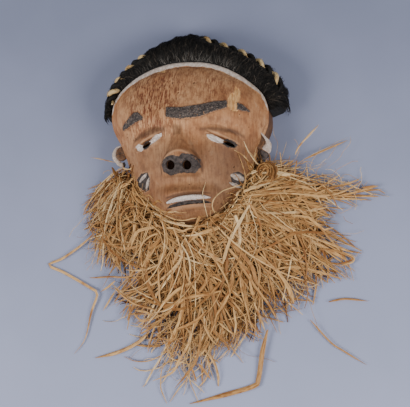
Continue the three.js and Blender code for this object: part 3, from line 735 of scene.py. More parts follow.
class Paint:
    """A material whose nodes are written as short calls."""

    def __init__(self, name, roughness, specular=0.5):
        self.material = bpy.data.materials.new(name)
        self.material.use_nodes = True
        self.tree = self.material.node_tree
        self.shader = self.tree.nodes["Principled BSDF"]
        self.shader.inputs["Roughness"].default_value = roughness
        self.shader.inputs["Specular IOR Level"].default_value = specular
        self.place = self.tree.nodes.new("ShaderNodeTexCoord").outputs["Object"]

    def node(self, kind, inputs, output=0, **settings):
        node = self.tree.nodes.new("ShaderNode" + kind)
        for key, value in settings.items():
            setattr(node, key, value)
        for key, value in inputs.items():
            self.put(node.inputs[key], value)
        return node.outputs[output]

    def put(self, socket, value):
        if isinstance(value, bpy.types.NodeSocket):
            self.tree.links.new(value, socket)
        else:
            socket.default_value = value

    def stored(self, name, output="Fac"):
        return self.node("Attribute", {}, output, attribute_name=name)

    def scaled(self, size, seed=0):
        """The place of a point counted in cells of a size in millimetres along each axis."""
        sizes = np.broadcast_to(np.asarray(size, float), 3)
        scale = (1 / (sizes * MILLIMETRE)).tolist()
        start = (seed * 7.3, seed * 3.1, 0)
        return self.node("Mapping", {"Vector": self.place, "Scale": scale, "Location": start})

    def noise(self, size, seed=0, detail=3, rough=0.55):
        return self.node("TexNoise", {
            "Vector": self.scaled(size, seed), "Scale": 1, "Detail": detail, "Roughness": rough,
        }, "Fac")

    def spots(self, size, seed):
        """Distance from the middle of the nearest of some scattered spots."""
        return self.node("TexVoronoi", {"Vector": self.scaled(size, seed), "Scale": 1}, "Distance")

    def plus(self, first, second):
        return self.node("Math", {0: first, 1: second}, operation="ADD")

    def minus(self, first, second):
        return self.node("Math", {0: first, 1: second}, operation="SUBTRACT")

    def times(self, first, second):
        return self.node("Math", {0: first, 1: second}, operation="MULTIPLY")

    def split(self, vector):
        node = self.tree.nodes.new("ShaderNodeSeparateXYZ")
        self.put(node.inputs[0], vector)
        return node.outputs

    def ramp(self, place, stops):
        """Colours by place, from stops given as (position, colour code)."""
        node = self.tree.nodes.new("ShaderNodeValToRGB")
        self.put(node.inputs[0], place)
        elements = node.color_ramp.elements
        while len(elements) < len(stops):
            elements.new(0.5)
        for element, (position, code) in zip(elements, stops):
            element.position = position
            element.color = tone(code)
        return node.outputs[0]

    def between(self, value, low, high, start=0.0, end=1.0):
        """value from low to high becomes start to end, and stays there beyond."""
        inputs = {"Value": value, "From Min": low, "From Max": high, "To Min": start, "To Max": end}
        return self.node("MapRange", inputs)

    def blend(self, factor, first, second, mode="MIX"):
        node = self.tree.nodes.new("ShaderNodeMix")
        node.data_type = "RGBA"
        node.blend_type = mode
        self.put(node.inputs[0], factor)
        self.put(node.inputs[6], first)
        self.put(node.inputs[7], second)
        return node.outputs[2]

    def finish(self, colour, height=None, depth=0.3, roughness=None):
        """Sets the colour and a bump of some depth in millimetres; returns the material."""
        self.put(self.shader.inputs["Base Color"], colour)
        if roughness is not None:
            self.put(self.shader.inputs["Roughness"], roughness)
        if height is not None:
            inputs = {"Height": height, "Distance": depth * MILLIMETRE, "Strength": 1.0}
            self.put(self.shader.inputs["Normal"], self.node("Bump", inputs))
        return self.material


def wood_material():
    """Stained light wood with streaks along the grain, kaolin white and black paint, painted shade in the
    carving's hollows and holes, and lighter edges that are wear and painted highlight.
    """
    m = Paint("carved_wood", 0.62, 0.22)
    hue = {name: tone(code) for name, code in WOOD_TONES.items()}
    patches = m.noise((30, 42, 30), 1)
    mottle = m.noise((8, 12, 9), 2, detail=5, rough=0.65)
    grain = m.noise((1.5, 24, 12), 3, detail=4, rough=0.65)
    streaks = m.noise((1.7, 10, 8), 4, detail=4, rough=0.7)
    colour = m.blend(m.between(patches, 0.36, 0.66), hue["stain"], hue["pale stain"])
    colour = m.blend(m.between(mottle, 0.48, 0.64, 0, 0.65), colour, hue["dark mottle"])
    colour = m.blend(m.between(mottle, 0.42, 0.3, 0, 0.55), colour, hue["pale mottle"])
    colour = m.blend(m.between(grain, 0.5, 0.7, 0, 0.6), colour, hue["grain"])
    weather = m.stored("weather")
    heavy = m.times(m.between(streaks, 0.5, 0.58), m.between(weather, 0.1, 1, 0.1, 0.95))
    colour = m.blend(heavy, colour, hue["open grain"])
    pale = m.times(m.between(streaks, 0.43, 0.34), m.between(weather, 0, 1, 0.12, 0.5))
    colour = m.blend(pale, colour, hue["bleached"])
    dirt = m.between(m.noise(6, 6, detail=5, rough=0.7), 0.56, 0.76, 0, 0.6)
    colour = m.blend(dirt, colour, hue["dirt"])
    # Painted shade in the carving's hollows, and lighter edges that are partly wear, partly painted
    # highlight.
    crest = m.stored("crest")
    colour = m.blend(m.between(crest, -0.1, -0.6, 0, 0.6), colour, hue["hollows"])
    colour = m.blend(m.between(crest, 0.12, 0.5, 0, 0.5), colour, hue["edges"])
    # Old stains and painted shade, stored at each point.
    colour = m.blend(m.between(m.stored("stain_and_shade"), 0, 1, 0, 0.9), colour, hue["stain_and_shade"])
    pinholes = m.times(m.between(m.spots(6.5, 7), 0.06, 0.11, 1, 0), m.between(m.noise(20, 8), 0.5, 0.6))
    colour = m.blend(pinholes, colour, hue["pinholes"])

    ragged = m.times(m.minus(m.noise(1.8, 9, detail=4), 0.5), 2.4)
    bare = m.between(m.plus(m.stored("bare"), ragged), -0.2, 0.2)
    fresh = m.between(m.noise((1.2, 9, 8), 10), 0.4, 0.62)
    colour = m.blend(bare, colour, m.blend(fresh, hue["broken"], hue["broken grain"]))

    dark = m.between(m.plus(m.stored("dark"), ragged), -0.3, 0.3)
    scratches = m.between(m.noise((1.6, 1.2, 1.2), 11, detail=3), 0.52, 0.68)
    black = m.blend(m.between(m.noise(3.5, 12), 0.35, 0.65), hue["black"], hue["pale black"])
    rubbed = m.times(scratches, m.between(m.stored("rubbed"), 0, 1, 0.1, 0.6))
    black = m.blend(rubbed, black, hue["rubbed black"])
    worn = m.between(m.plus(m.noise((2.6, 4, 3), 13, detail=4), m.times(crest, 0.12)), 0.64, 0.72)
    kept = m.minus(1.0, m.times(worn, 0.5))
    colour = m.blend(m.times(dark, kept), colour, black)

    white = m.between(m.plus(m.stored("white"), m.times(ragged, 0.6)), -0.25, 0.25)
    dull = m.between(m.noise(2.6, 14, detail=4), 0.35, 0.7)
    chalk = m.blend(dull, hue["white"], hue["dull white"])
    stained = m.between(m.noise(1.4, 15, detail=4), 0.56, 0.7, 0, 0.75)
    chalk = m.blend(stained, chalk, hue["stained white"])
    dusted = m.between(m.noise((3, 5, 3), 17, detail=5), 0.35, 0.65, 0.3, 1)
    chalk = m.blend(m.times(m.stored("grime"), dusted), chalk, hue["grimy white"])
    colour = m.blend(white, colour, chalk)
    # Painted shade, near black, deep in the nostrils and the eye slits.
    colour = m.blend(m.stored("hole_shade"), colour, hue["holes"])

    relief = m.plus(m.times(grain, 0.6), m.times(mottle, 0.5))
    relief = m.minus(relief, m.times(heavy, 0.8))
    relief = m.minus(relief, m.times(pinholes, 1.2))
    relief = m.plus(relief, m.times(white, m.noise(1.2, 16)))
    relief = m.plus(relief, m.times(dark, m.times(scratches, 0.8)))
    return m.finish(colour, relief, 0.5, m.between(white, 0, 1, 0.58, 0.85))


def fibre_material(name, stops, shade, roughness, depth, dusty_sheen=False):
    """Plant fibre: each strand has its own tint, with streaks and darker stretches along it."""
    m = Paint(name, roughness, 0.2)
    across, along, tint = m.split(m.stored("fibre", "Vector"))
    base = m.ramp(tint, stops)
    streak_place = {0: m.times(across, 2.2), 1: m.times(along, 0.08), 2: m.times(tint, 97.0)}
    streak_inputs = {"Vector": m.node("CombineXYZ", streak_place), "Scale": 2.0, "Detail": 3}
    streak = m.node("TexNoise", streak_inputs, "Fac")
    blotch_place = {0: m.times(along, 0.06), 1: m.times(tint, 61.0)}
    blotch_inputs = {"Vector": m.node("CombineXYZ", blotch_place), "Scale": 1.0, "Detail": 2}
    blotch = m.node("TexNoise", blotch_inputs, "Fac")
    dark = m.blend(1.0, base, tone(shade), "MULTIPLY")
    colour = m.blend(m.between(streak, 0.45, 0.66, 0, 0.8), base, dark)
    colour = m.blend(m.between(blotch, 0.52, 0.7, 0, 0.8), colour, dark)
    # Grey flecks that are kaolin dust and painted sheen.
    if dusty_sheen:
        colour = m.blend(m.stored("dust_and_sheen"), colour, tone(DUST_AND_SHEEN_TONE))
    return m.finish(colour, streak, depth)


def felt_material():
    """The matted black ground under the pile."""
    m = Paint("black_felt", 0.95)
    fuzz = m.noise(0.9, 1, detail=5, rough=0.7)
    return m.finish(m.blend(m.between(fuzz, 0.4, 0.7), *map(tone, FELT_TONES)), fuzz, 1.2)


def floor_material():
    """Grey-blue paper with a painted light fall-off: lighter towards the viewer, darker away from it."""
    m = Paint("studio_floor", 0.9)
    away = m.between(m.split(m.place)[1], -0.24, 0.26)
    cloudy = m.between(m.noise(90, 1, detail=2), 0.3, 0.7, -0.06, 0.06)
    return m.finish(m.blend(m.plus(away, cloudy), *map(tone, FLOOR_FALLOFF_TONES)))


# The wooden face

def outline(angle):
    knots = np.array(OUTLINE[-1:] + OUTLINE + OUTLINE[:2], float)
    place = (np.asarray(angle) % (2 * pi)) / (2 * pi) * len(OUTLINE)
    return smooth_curve(knots, place + 1)


def band_width(angle):
    climb = soft_step(np.sin(angle), 0.1, 1)
    start = soft_step(np.sin(angle), -0.05, 0.15)
    return RIM_BAND_SIDE * start + (RIM_BAND - RIM_BAND_SIDE) * climb


def edge_height(angle):
    return EDGE_HEIGHT + EDGE_RISE * np.sin(angle)


def dome_height(x, y):
    angle = np.arctan2(y, x)
    part = np.minimum(np.hypot(x, y) / (outline(angle) - band_width(angle)), 1)
    power = DOME_ROUNDING + DOME_ROUNDING_RISE * np.sin(angle)
    edge = edge_height(angle)
    return edge + (CROWN_HEIGHT - edge) * (1 - part**DOME_POWER) ** power


def swelling(along, across, power):
    return np.exp(-np.abs(along) ** power - np.abs(across) ** power)


def forms(x, y, shapes, power):
    """Sum of some rounded forms, each given as (height, x, half width, y, half length)."""
    return sum(
        height * swelling((x - mid_x) / half_x, (y - mid_y) / half_y, power)
        for height, mid_x, half_x, mid_y, half_y in shapes
    )


def face_height(x, y):
    """Height of the carved surface with its broad swellings and hollows."""
    rise, mid_x, half_x, mid_y, half_y = BROW_FORM
    brow = rise * swelling((x - mid_x) / half_x, 0, 4) * swelling(0, (y - mid_y) / half_y, 2)
    hollows = forms(np.abs(x), y, [SOCKET_FORM, CHEEK_FORM], 2)
    return dome_height(x, y) + brow + hollows + forms(x, y, [MUZZLE_FORM], 4)


def nose_relief(x, y):
    """The nose: a narrow bridge that widens to the tilted plane of the nostrils."""
    across = np.zeros_like(x)
    for _ in range(8):
        tip = NOSE_TIP - NOSE_ARC * across**2
        along = (NOSE_TOP - y) / (NOSE_TOP - tip)
        spread = np.clip(along, 0, 1)
        half = NOSE_TOP_HALF + (NOSE_WING_HALF - NOSE_TOP_HALF) * spread**1.1
        across = np.clip((x - NOSE_X) / half, -1, 1)
    ridge = NOSE_HEIGHT * np.clip(along, 0, None) ** 1.4
    fall = (NOSE_HEIGHT - NOSE_FOOT_STEP) * (tip - y) / (tip - NOSE_FOOT)
    crest = soft_min(ridge, NOSE_HEIGHT - fall, NOSE_ROUNDING)
    low, high = NOSE_FOOT_FADE
    crest = np.clip(crest, 0, None) * soft_step(y, NOSE_FOOT + low, NOSE_FOOT + high)
    tip_section = (1 - (1 - 0.38 * spread) * np.abs(across) ** 2.4) * (1 - np.abs(across) ** 14)
    bridge_section = (1 - across**2) ** 2
    return crest * (bridge_section + (tip_section - bridge_section) * soft_step(spread, 0.72, 1))


def eye_turn(eye):
    return -eye["side"] * radians(LID_TILT)


def lid_relief(x, y, eye):
    """A lid that hangs over its eye, with the fold over it and the lower lid's edge."""
    along, across = turned(x, y, eye["lid"], eye_turn(eye))
    place = along / LID_HALF
    reach = LID_RISE * np.sqrt(np.clip(1 - 0.85 * place**2, 0.01, 1))
    down = 1 - (across - 0.5) / reach
    hanging = np.sin(pi / 2 * np.clip(down, 0, 1))
    shape = np.where(down < 1, hanging, 1 - soft_step(across, 0.5, -0.5))
    fold = LID_FOLD_DEPTH * np.exp(-((across - 0.5 - reach) / LID_FOLD_WIDTH) ** 2)
    drop = LOWER_LID_DROP * np.sqrt(np.clip(1 - place**2, 0, 1))
    lower_lid = LOWER_LID_RAISE * np.exp(-((across + drop) / LOWER_LID_WIDTH) ** 2)
    return (LID_BULGE * shape - fold + lower_lid) * np.clip(1 - place**4, 0, 1)


def opening_distance(x, y, eye):
    """How far inside the eye's sunk opening, pointed at both ends, a point lies."""
    mid_x, mid_y, half = eye["opening"]
    along, across = turned(x, y, (mid_x, mid_y), eye_turn(eye) * OPENING_TURN)
    place = np.clip(np.abs(along) / half, 0, 1)
    inside = OPENING_RISE * (1 - place**2) ** 0.7 - np.abs(across)
    return np.where(np.abs(along) < half, inside, -np.hypot(np.abs(along) - half, across))


def band_distance(x, y, stations):
    """How far inside a band a point lies, the band given by (x, lower y, upper y) stations."""
    places, low, high = np.array(stations, float).T
    inside = np.minimum(np.interp(x, places, high) - y, y - np.interp(x, places, low))
    return np.minimum(inside, np.minimum(x - places[0], places[-1] - x))


def bar_distance(x, y, edges):
    """How far inside a bar along the mouth's line a point lies."""
    low, high = edges
    place = (x - MOUTH_X) / MOUTH_HALF
    line = MOUTH_Y + MOUTH_SLOPE * (x - MOUTH_X) - MOUTH_DROOP * place**2
    half = (high - low) / 2 * np.clip(1 - 0.3 * place**2 - 0.5 * place**4, 0.05, 1)
    inside = half - np.abs(y - line - (low + high) / 2)
    return np.minimum(inside, (1 - np.abs(place)) * MOUTH_HALF)


def lip_relief(x, y, edges, raise_by):
    half = (edges[1] - edges[0]) / 2
    return raise_by * np.sin(pi / 2 * np.clip(bar_distance(x, y, edges) / half, 0, 1)) ** 0.8


def mark_distance(x, y, mark):
    along, across = turned(x, y, mark[:2], radians(mark[2]))
    place = np.clip(np.abs(along) / mark[3], 0, 1)
    inside = mark[4] * (1 - 0.75 * place**2) - np.abs(across)
    return np.minimum(inside, mark[3] - np.abs(along))


def carved_relief(x, y):
    """Height of everything carved on the face, over its broad surface."""
    relief = nose_relief(x, y)
    for eye in EYES:
        inside = opening_distance(x, y, eye)
        ball = EYEBALL_SWELL * soft_step(inside, 0, 3)
        relief = relief + lid_relief(x, y, eye) - OPENING_DEPTH * soft_step(inside, -0.4, 1.0) + ball
    pocks = np.abs(flat_noise(x, y, POCKS)) + 0.5 * np.abs(flat_noise(x, y, SMALL_POCKS))
    for stations in BROWS:
        inside = band_distance(x, y, stations) + 0.5 * flat_noise(x, y, BROW_EDGE)
        relief = relief + BROW_RAISE * soft_step(inside, -0.5, 0.6)
        relief = relief - POCK_DEPTH * pocks * soft_step(inside, 0, 1)
    relief = relief + lip_relief(x, y, UPPER_LIP, LIP_RAISE) + lip_relief(x, y, LOWER_LIP, LOWER_LIP_RAISE)
    relief = relief - MOUTH_SLOT_DEPTH * soft_step(bar_distance(x, y, MOUTH_SLOT), -0.3, 1.4)
    relief = relief - MOUTH_GROOVE_DEPTH * soft_step(bar_distance(x, y, MOUTH_GROOVE), -1.2, 1.4)
    for hollow in MARK_HOLLOWS:
        relief = relief - MARK_HOLLOW_DEPTH * soft_step(inside_distance(x, y, hollow), 0, 2)
    for mark in MARKS:
        relief = relief + MARK_RAISE * soft_step(mark_distance(x, y, mark), -0.2, 1.9)
    broken = inside_distance(x, y, CHIP) + 0.9 * flat_noise(x, y, CHIP_EDGE)
    splinter = CHIP_DEPTH + SPLINTER_DEPTH * flat_noise(x, y, SPLINTERS)
    relief = relief - splinter * soft_step(broken, -0.3, 0.4)
    relief = relief - RIM_CHIP_DEPTH * soft_step(inside_distance(x, y, RIM_CHIP), -0.2, 0.8)
    for pit_x, pit_y in PITS:
        relief = relief - PIT_DEPTH * np.exp(-((x - pit_x) ** 2 + (y - pit_y) ** 2) / PIT_SPREAD)
    return relief


def crest_at(x, y):
    """How far a point of the carving stands over its surroundings: positive on its edges."""
    near, slant = 2.0, 1.2
    ring = [(near, 0), (-near, 0), (0, near), (0, -near)]
    ring += [(slant, slant), (-slant, -slant), (slant, -slant), (-slant, slant)]
    return carved_relief(x, y) - sum(carved_relief(x + dx, y + dy) for dx, dy in ring) / len(ring)


def weather_at(x, y):
    """Where the grain has opened: most on the left of the forehead."""
    return np.clip(forms(x, y, WEATHERED, 4), 0, 1)


def tool_marks(x, y, z):
    """Shallow knife facets, and open grain where the wood has weathered."""
    facets = 0.38 * noise_at(x, y, z, FACETS) + 0.12 * noise_at(x, y, z, SMALL_FACETS)
    grain = noise_at(x, y, z, OPEN_GRAIN)
    return facets - (0.06 + 0.22 * weather_at(x, y)) * np.clip(grain, 0, 1)


def disc_grid(half):
    """A square grid bent onto a disc: its points' shares of the way out, angles and quads."""
    steps = np.arange(-half, half + 1)
    a, b = np.meshgrid(steps, steps, indexing="ij")
    a, b = a.ravel().astype(float), b.ravel().astype(float)
    wide = np.abs(a) >= np.abs(b)
    safe_a, safe_b = np.where(a == 0, 1, a), np.where(b == 0, 1, b)
    angle = np.where(wide, pi / 4 * b / safe_a + np.where(a < 0, pi, 0),
                     pi / 2 - pi / 4 * a / safe_b + np.where(b < 0, pi, 0))
    share = np.maximum(np.abs(a), np.abs(b)) / half
    side = 2 * half + 1
    i, j = np.meshgrid(np.arange(side - 1), np.arange(side - 1), indexing="ij")
    corner = (i * side + j).ravel()
    quads = np.stack([corner, corner + side, corner + side + 1, corner + 1], axis=1)
    return share, np.arctan2(np.sin(angle), np.cos(angle)), quads


def front_points(share, angle):
    """The face seen from the front: the dome, then the flat band round its rim."""
    band_start = 1 - BAND_RINGS / FRONT_HALF
    on_dome = np.clip(share / band_start, 0, 1)
    on_band = np.clip((share - band_start) / (1 - band_start), 0, 1)
    rim = outline(angle)
    width = np.maximum(band_width(angle), 0.8)
    distance = (1 - (1 - on_dome) ** 1.2) * (rim - width) + on_band * width
    x, y = distance * np.cos(angle), distance * np.sin(angle)
    inner = face_height(x, y) + carved_relief(x, y)
    rounded = edge_height(angle) - RIM_BAND_DROP * on_band**2
    z = np.where(on_band > 0, np.minimum(rounded, inner), inner)
    z = z + tool_marks(x, y, z) * (1 - 0.6 * (on_band > 0))
    return np.stack([x, y, z], axis=1)


def back_rings(angle):
    """Rings of the outer wall, the back rim and the hollow, from the front's edge inwards."""
    rings = []
    rim = outline(angle)
    top = edge_height(angle) - RIM_BAND_DROP

    def ring(distance, height):
        x, y = distance * np.cos(angle), distance * np.sin(angle)
        rings.append(np.stack([x, y, height * np.ones_like(x)], axis=1))

    for k in range(1, WALL_RINGS):
        down = k / WALL_RINGS
        height = top * (1 - down) + 0.8 * down
        marks = 0.5 * noise_at(rim * np.cos(angle), rim * np.sin(angle), height, WALL_MARKS)
        ring(rim + WALL_FLARE * down + marks, height)
    for share in (0.06, 0.35, 0.65, 0.94):
        ring(rim + WALL_FLARE - WALL * share, 0)
    for k in range(1, HOLLOW_RINGS + 1):
        part = 1 - (k / (HOLLOW_RINGS + 1)) ** 2.0
        distance = (rim + WALL_FLARE - WALL) * part
        x, y = distance * np.cos(angle), distance * np.sin(angle)
        height = (dome_height(x, y) - WALL) * np.sqrt(1 - part**14)
        cuts = 0.9 * noise_at(x, y, height, GOUGE_CUTS) * np.clip(height / 12, 0, 1)
        ring(distance, height + cuts)
    return rings


def face_shell():
    share, angle, quads = disc_grid(FRONT_HALF)
    front = front_points(share, angle)
    edge = np.flatnonzero(share == 1)
    edge = edge[np.argsort(angle[edge])]
    count = len(edge)
    rings = back_rings(angle[edge])
    points = np.concatenate([front, *rings, [[0, 0, dome_height(0.0, 0.0) - WALL]]])
    rows = [edge] + [len(front) + k * count + np.arange(count) for k in range(len(rings))]
    triangles = [split_quads(quads)]
    for upper, lower in zip(rows, rows[1:]):
        ahead_up, ahead_low = np.roll(upper, -1), np.roll(lower, -1)
        triangles.append(split_quads(np.stack([upper, lower, ahead_low, ahead_up], axis=1)))
    last = rows[-1]
    pole = np.full(count, len(points) - 1)
    triangles.append(np.stack([last, pole, np.roll(last, -1)], axis=1))
    return points, np.concatenate(triangles)


def cylinder(centre, direction, radius, half, sides=28, squash=1.0, turn=0.0):
    """A closed cutter round a line; squash narrows it across its turned section."""
    centre, direction = np.asarray(centre, float), np.asarray(direction, float)
    across = np.cross(direction, [0.0, 0.0, 1.0]) if abs(direction[2]) < 0.9 else np.array([1.0, 0, 0])
    across -= direction * (across @ direction)
    across /= np.linalg.norm(across)
    other = np.cross(direction, across)
    angles = 2 * pi * np.arange(sides) / sides
    wide, narrow = radius * np.cos(angles), radius * squash * np.sin(angles)
    flat = (wide * np.cos(turn) - narrow * np.sin(turn))[:, None] * across
    flat = flat + (wide * np.sin(turn) + narrow * np.cos(turn))[:, None] * other
    ends = [centre + flat + direction * way * half for way in (-1, 1)]
    points = np.concatenate([*ends, [centre - direction * half, centre + direction * half]])
    k = np.arange(sides)
    after = (k + 1) % sides
    walls = split_quads(np.stack([k, after, sides + after, sides + k], axis=1))
    low = np.stack([np.full(sides, 2 * sides), after, k], axis=1)
    high = np.stack([np.full(sides, 2 * sides + 1), sides + k, sides + after], axis=1)
    return points, np.concatenate([walls, low, high])


def face_cutters():
    """Cutters for the slits of the eyes, the nostrils and the beard's lashing holes."""
    cutters = []
    for eye in EYES:
        x, y, half = eye["slit"]
        squash = SLIT_RISE / half
        cutters.append(cylinder((x, y, 65), (0, 0, 1), half, 45, squash=squash, turn=eye_turn(eye)))
    lean = radians(NOSTRIL_LEAN)
    inwards = (0, -np.sin(lean), np.cos(lean))
    for x, y in NOSTRILS:
        mouth = face_height(np.float64(x), np.float64(y)) + 0.4 * NOSE_HEIGHT
        cutters.append(cylinder((x, y, mouth), inwards, NOSTRIL_RADIUS, NOSTRIL_DEPTH))
    for angle in np.radians(np.linspace(LASHING_FROM, LASHING_TO, LASHING_COUNT)):
        out = np.array([np.cos(angle), np.sin(angle), 0])
        centre = out * outline(angle) + [0, 0, LASHING_HEIGHT]
        cutters.append(cylinder(centre, out, LASHING_RADIUS, 20, sides=14))
    return cutters


def cut_mesh(mesh, cutters):
    """The mesh with the cutters taken out of it."""
    body = bpy.data.objects.new("uncut", mesh)
    knife = bpy.data.objects.new("knife", new_mesh("knife", *join(cutters)))
    for item in (body, knife):
        bpy.context.scene.collection.objects.link(item)
    modifier = body.modifiers.new("cut", "BOOLEAN")
    modifier.operation = "DIFFERENCE"
    modifier.object = knife
    modifier.solver = "MANIFOLD"
    bpy.context.view_layer.update()
    result = bpy.data.meshes.new_from_object(body.evaluated_get(bpy.context.evaluated_depsgraph_get()))
    for item in (body, knife):
        bpy.data.objects.remove(item)
    return result


def mask_points(mesh):
    """A mesh's points back in millimetres on the mask's own axes."""
    flat = np.empty(len(mesh.vertices) * 3, np.float32)
    mesh.vertices.foreach_get("co", flat)
    return flat.reshape(-1, 3) / MILLIMETRE - MASK_PLACE


def most(*distances):
    return np.maximum.reduce(distances)


def in_any(x, y, patches):
    """How far inside the nearest of some closed outlines a point lies."""
    return most(*[inside_distance(x, y, patch) for patch in patches])


def in_bands(x, y, bands):
    return most(*[band_distance(x, y, stations) for stations in bands])


def stain_and_shade_at(x, y, distance, rim):
    """Old stains between the eyes and dark paint in the mouth's groove; painted shade in the folds over the
    lids, along the jaw's edge beside the beard and in a patch on the right jaw; and plain darkening in the
    middle of the forehead, low on the face and more on its right, and on the chin.
    """
    stain = 0.6 * soft_step(inside_distance(x, y, STAIN), -1, 2.5)
    # Painted shade in the folds over the lids.
    lid_fold_shade = 0.8 * soft_step(in_bands(x, y, EYE_SHADES), -3, 1.8)
    middle = 0.14 * swelling((x - 14) / 34, (y - 54) / 26, 2)
    lower = 0.42 * soft_step(-y, -6, 22) + 0.27 * soft_step(x, 5, 50) * soft_step(-y, -10, 30)
    # Painted shade along the jaw's edge where the beard meets it, more on the right, and in a patch on the
    # right jaw.
    jaw = 0.75 * soft_step(distance, rim - 15, rim - 2) * soft_step(-y, 34, 62)
    under = 0.45 * soft_step(distance, rim - 22, rim - 4) * soft_step(-y, 10, 50) * (x > 0)
    hole_shade = 0.9 * soft_step(inside_distance(x, y, JAW_SHADE), -3, 2)
    chin = 0.56 * soft_step(-y, 72, 88)
    groove = 0.85 * soft_step(bar_distance(x, y, MOUTH_GROOVE), -1.8, 0.8)
    return most(stain, lid_fold_shade, middle, lower, jaw, under, hole_shade, chin, groove)


def rim_paint(x, y, z, distance, rim):
    """How far inside the white band on the rim a point lies, worn at its inner edge."""
    angle = np.arctan2(y, x)
    sine = np.sin(angle)
    width = (0.55 + 0.35 * soft_step(sine, 0.4, 0.9)) * band_width(angle)
    band = distance - (rim - width) + 0.7 * flat_noise(x, y, RIM_EDGE)
    band = band + 6 * (soft_step(sine, 0.24, 0.4) - 1)
    return np.where(z > edge_height(angle) - 3.2, band, -PAINT_LIMIT)


def nostril_and_slit_shade(x, y, z, in_eye):
    """Painted shade deep in the nostrils and down the walls of the eye slits."""
    depth = face_height(x, y) + carved_relief(x, y) - z
    nostril = most(*[NOSTRIL_RADIUS + 1.2 - np.hypot(x - hole_x, y - hole_y) for hole_x, hole_y in NOSTRILS])
    hole_shade = soft_step(nostril, -0.4, 0.4) * soft_step(depth, 0.1, 0.9)
    return most(hole_shade, 0.8 * soft_step(depth, 2.5, 7) * (in_eye > -1))


def paint_face(mesh):
    """Stores where the face is white, black, bare, grimy, weathered or worn, where it is stained or in
    painted shade, and how far its carving stands out.
    """
    x, y, z = mask_points(mesh).T
    distance = np.hypot(x, y)
    rim = outline(np.arctan2(y, x))
    in_front = (distance < rim + 1) & (z > dome_height(x, y) - 4.5)

    def give_front(name, inside):
        give(mesh, name, np.clip(np.where(in_front, inside, -PAINT_LIMIT), -PAINT_LIMIT, PAINT_LIMIT))

    band = rim_paint(x, y, z, distance, rim)
    marks = most(*[mark_distance(x, y, mark) for mark in MARKS])
    lip = bar_distance(x, y, UPPER_LIP) - 0.1
    whites = np.where(in_front, most(in_any(x, y, EYE_WHITES), lip, marks), -PAINT_LIMIT)
    give(mesh, "white", np.clip(most(band, whites), -PAINT_LIMIT, PAINT_LIMIT))

    brow = in_bands(x, y, BROWS)
    in_eye = in_any(x, y, EYE_DARKS)
    hollows = in_any(x, y, MARK_HOLLOWS) - 0.5
    nose = inside_distance(x, y, NOSTRIL_PLANE)
    give_front("dark", most(brow, bar_distance(x, y, MOUTH_SLOT), hollows, nose, in_eye))
    give(mesh, "rubbed", soft_step(brow, -1, 0))
    # Painted shade deep in the nostrils and the eye slits.
    give(mesh, "hole_shade", np.where(in_front, nostril_and_slit_shade(x, y, z, in_eye), 0))
    give_front("bare", in_any(x, y, [CHIP, RIM_CHIP]))
    # Old stains and painted shade on the front; off it, on the walls and in the hollow, a strong darkening
    # that is painted shade and darker inner wood.
    give(mesh, "stain_and_shade", np.where(in_front, stain_and_shade_at(x, y, distance, rim), 0.9))

    mark_grime = soft_step(marks, -1, 0.5) * np.where(x > 0, 0.9, 0.55)
    side_grime = 0.5 - 0.25 * soft_step(-x, 40, 70) + 0.3 * soft_step(x, 45, 85)
    give(mesh, "grime", most(mark_grime, soft_step(band, -1, 0.5) * side_grime))
    give(mesh, "weather", np.where(in_front, weather_at(x, y), 0.4))
    # How far the carving stands out: its hollows get painted shade, its edges wear and painted highlight.
    give(mesh, "crest", np.where(in_front & (distance < rim - 6), crest_at(x, y), 0))


def make_face(material):
    mesh = cut_mesh(new_mesh("carved_face", *face_shell()), face_cutters())
    paint_face(mesh)
    return add_piece("carved_face", mesh, material, ("face",), crease=75)


def ear_rim(ear):
    """The ear's rim: a thin shell at its top that widens towards the lobe."""
    line = resample(ear["rim"], EAR_STEPS)
    share = np.linspace(0, 1, EAR_STEPS)
    top, foot = ear["levels"]
    half = line[:, 2:3]
    path = np.stack([line[:, 0], line[:, 1], top + (foot - top) * share], axis=1)
    ahead = np.gradient(path, axis=0)
    ahead /= np.linalg.norm(ahead, axis=1, keepdims=True)
    across = np.cross(ahead, [0, 0, 1])
    turn = 2 * pi * np.arange(EAR_SIDES) / EAR_SIDES
    rough = 0.3 * flat_noise(*np.meshgrid(share * 24, np.cos(turn) * 3, indexing="ij"), EAR_ROUGHNESS)
    wide = half + rough * np.minimum(half / 3, 1)
    deep = np.minimum(EAR_RIM_DEPTH, half * 1.2) + rough
    points = path[:, None] + across[:, None] * (wide * np.cos(turn))[..., None]
    points = points + np.array([0, 0, 1.0]) * (deep * np.sin(turn))[..., None]
    return cap_rings(points), share


def ear_bowl(ear):
    """The shallow bowl of the ear, sunk in the side wall."""
    x, y, reach, middle = ear["bowl"]
    tilt = np.linspace(0.05, pi - 0.05, BOWL_ROWS)[:, None]
    turn = (2 * pi * np.arange(BOWL_SIDES) / BOWL_SIDES)[None]
    dent = 1 - 0.75 * np.exp(-(tilt / 0.75) ** 2)
    points = np.stack([
        x + reach * np.sin(tilt) * np.cos(turn),
        y + BOWL_STRETCH * reach * np.sin(tilt) * np.sin(turn),
        middle + 0.5 * reach * np.cos(tilt) * dent + 0 * turn,
    ], axis=-1)
    return cap_rings(points)


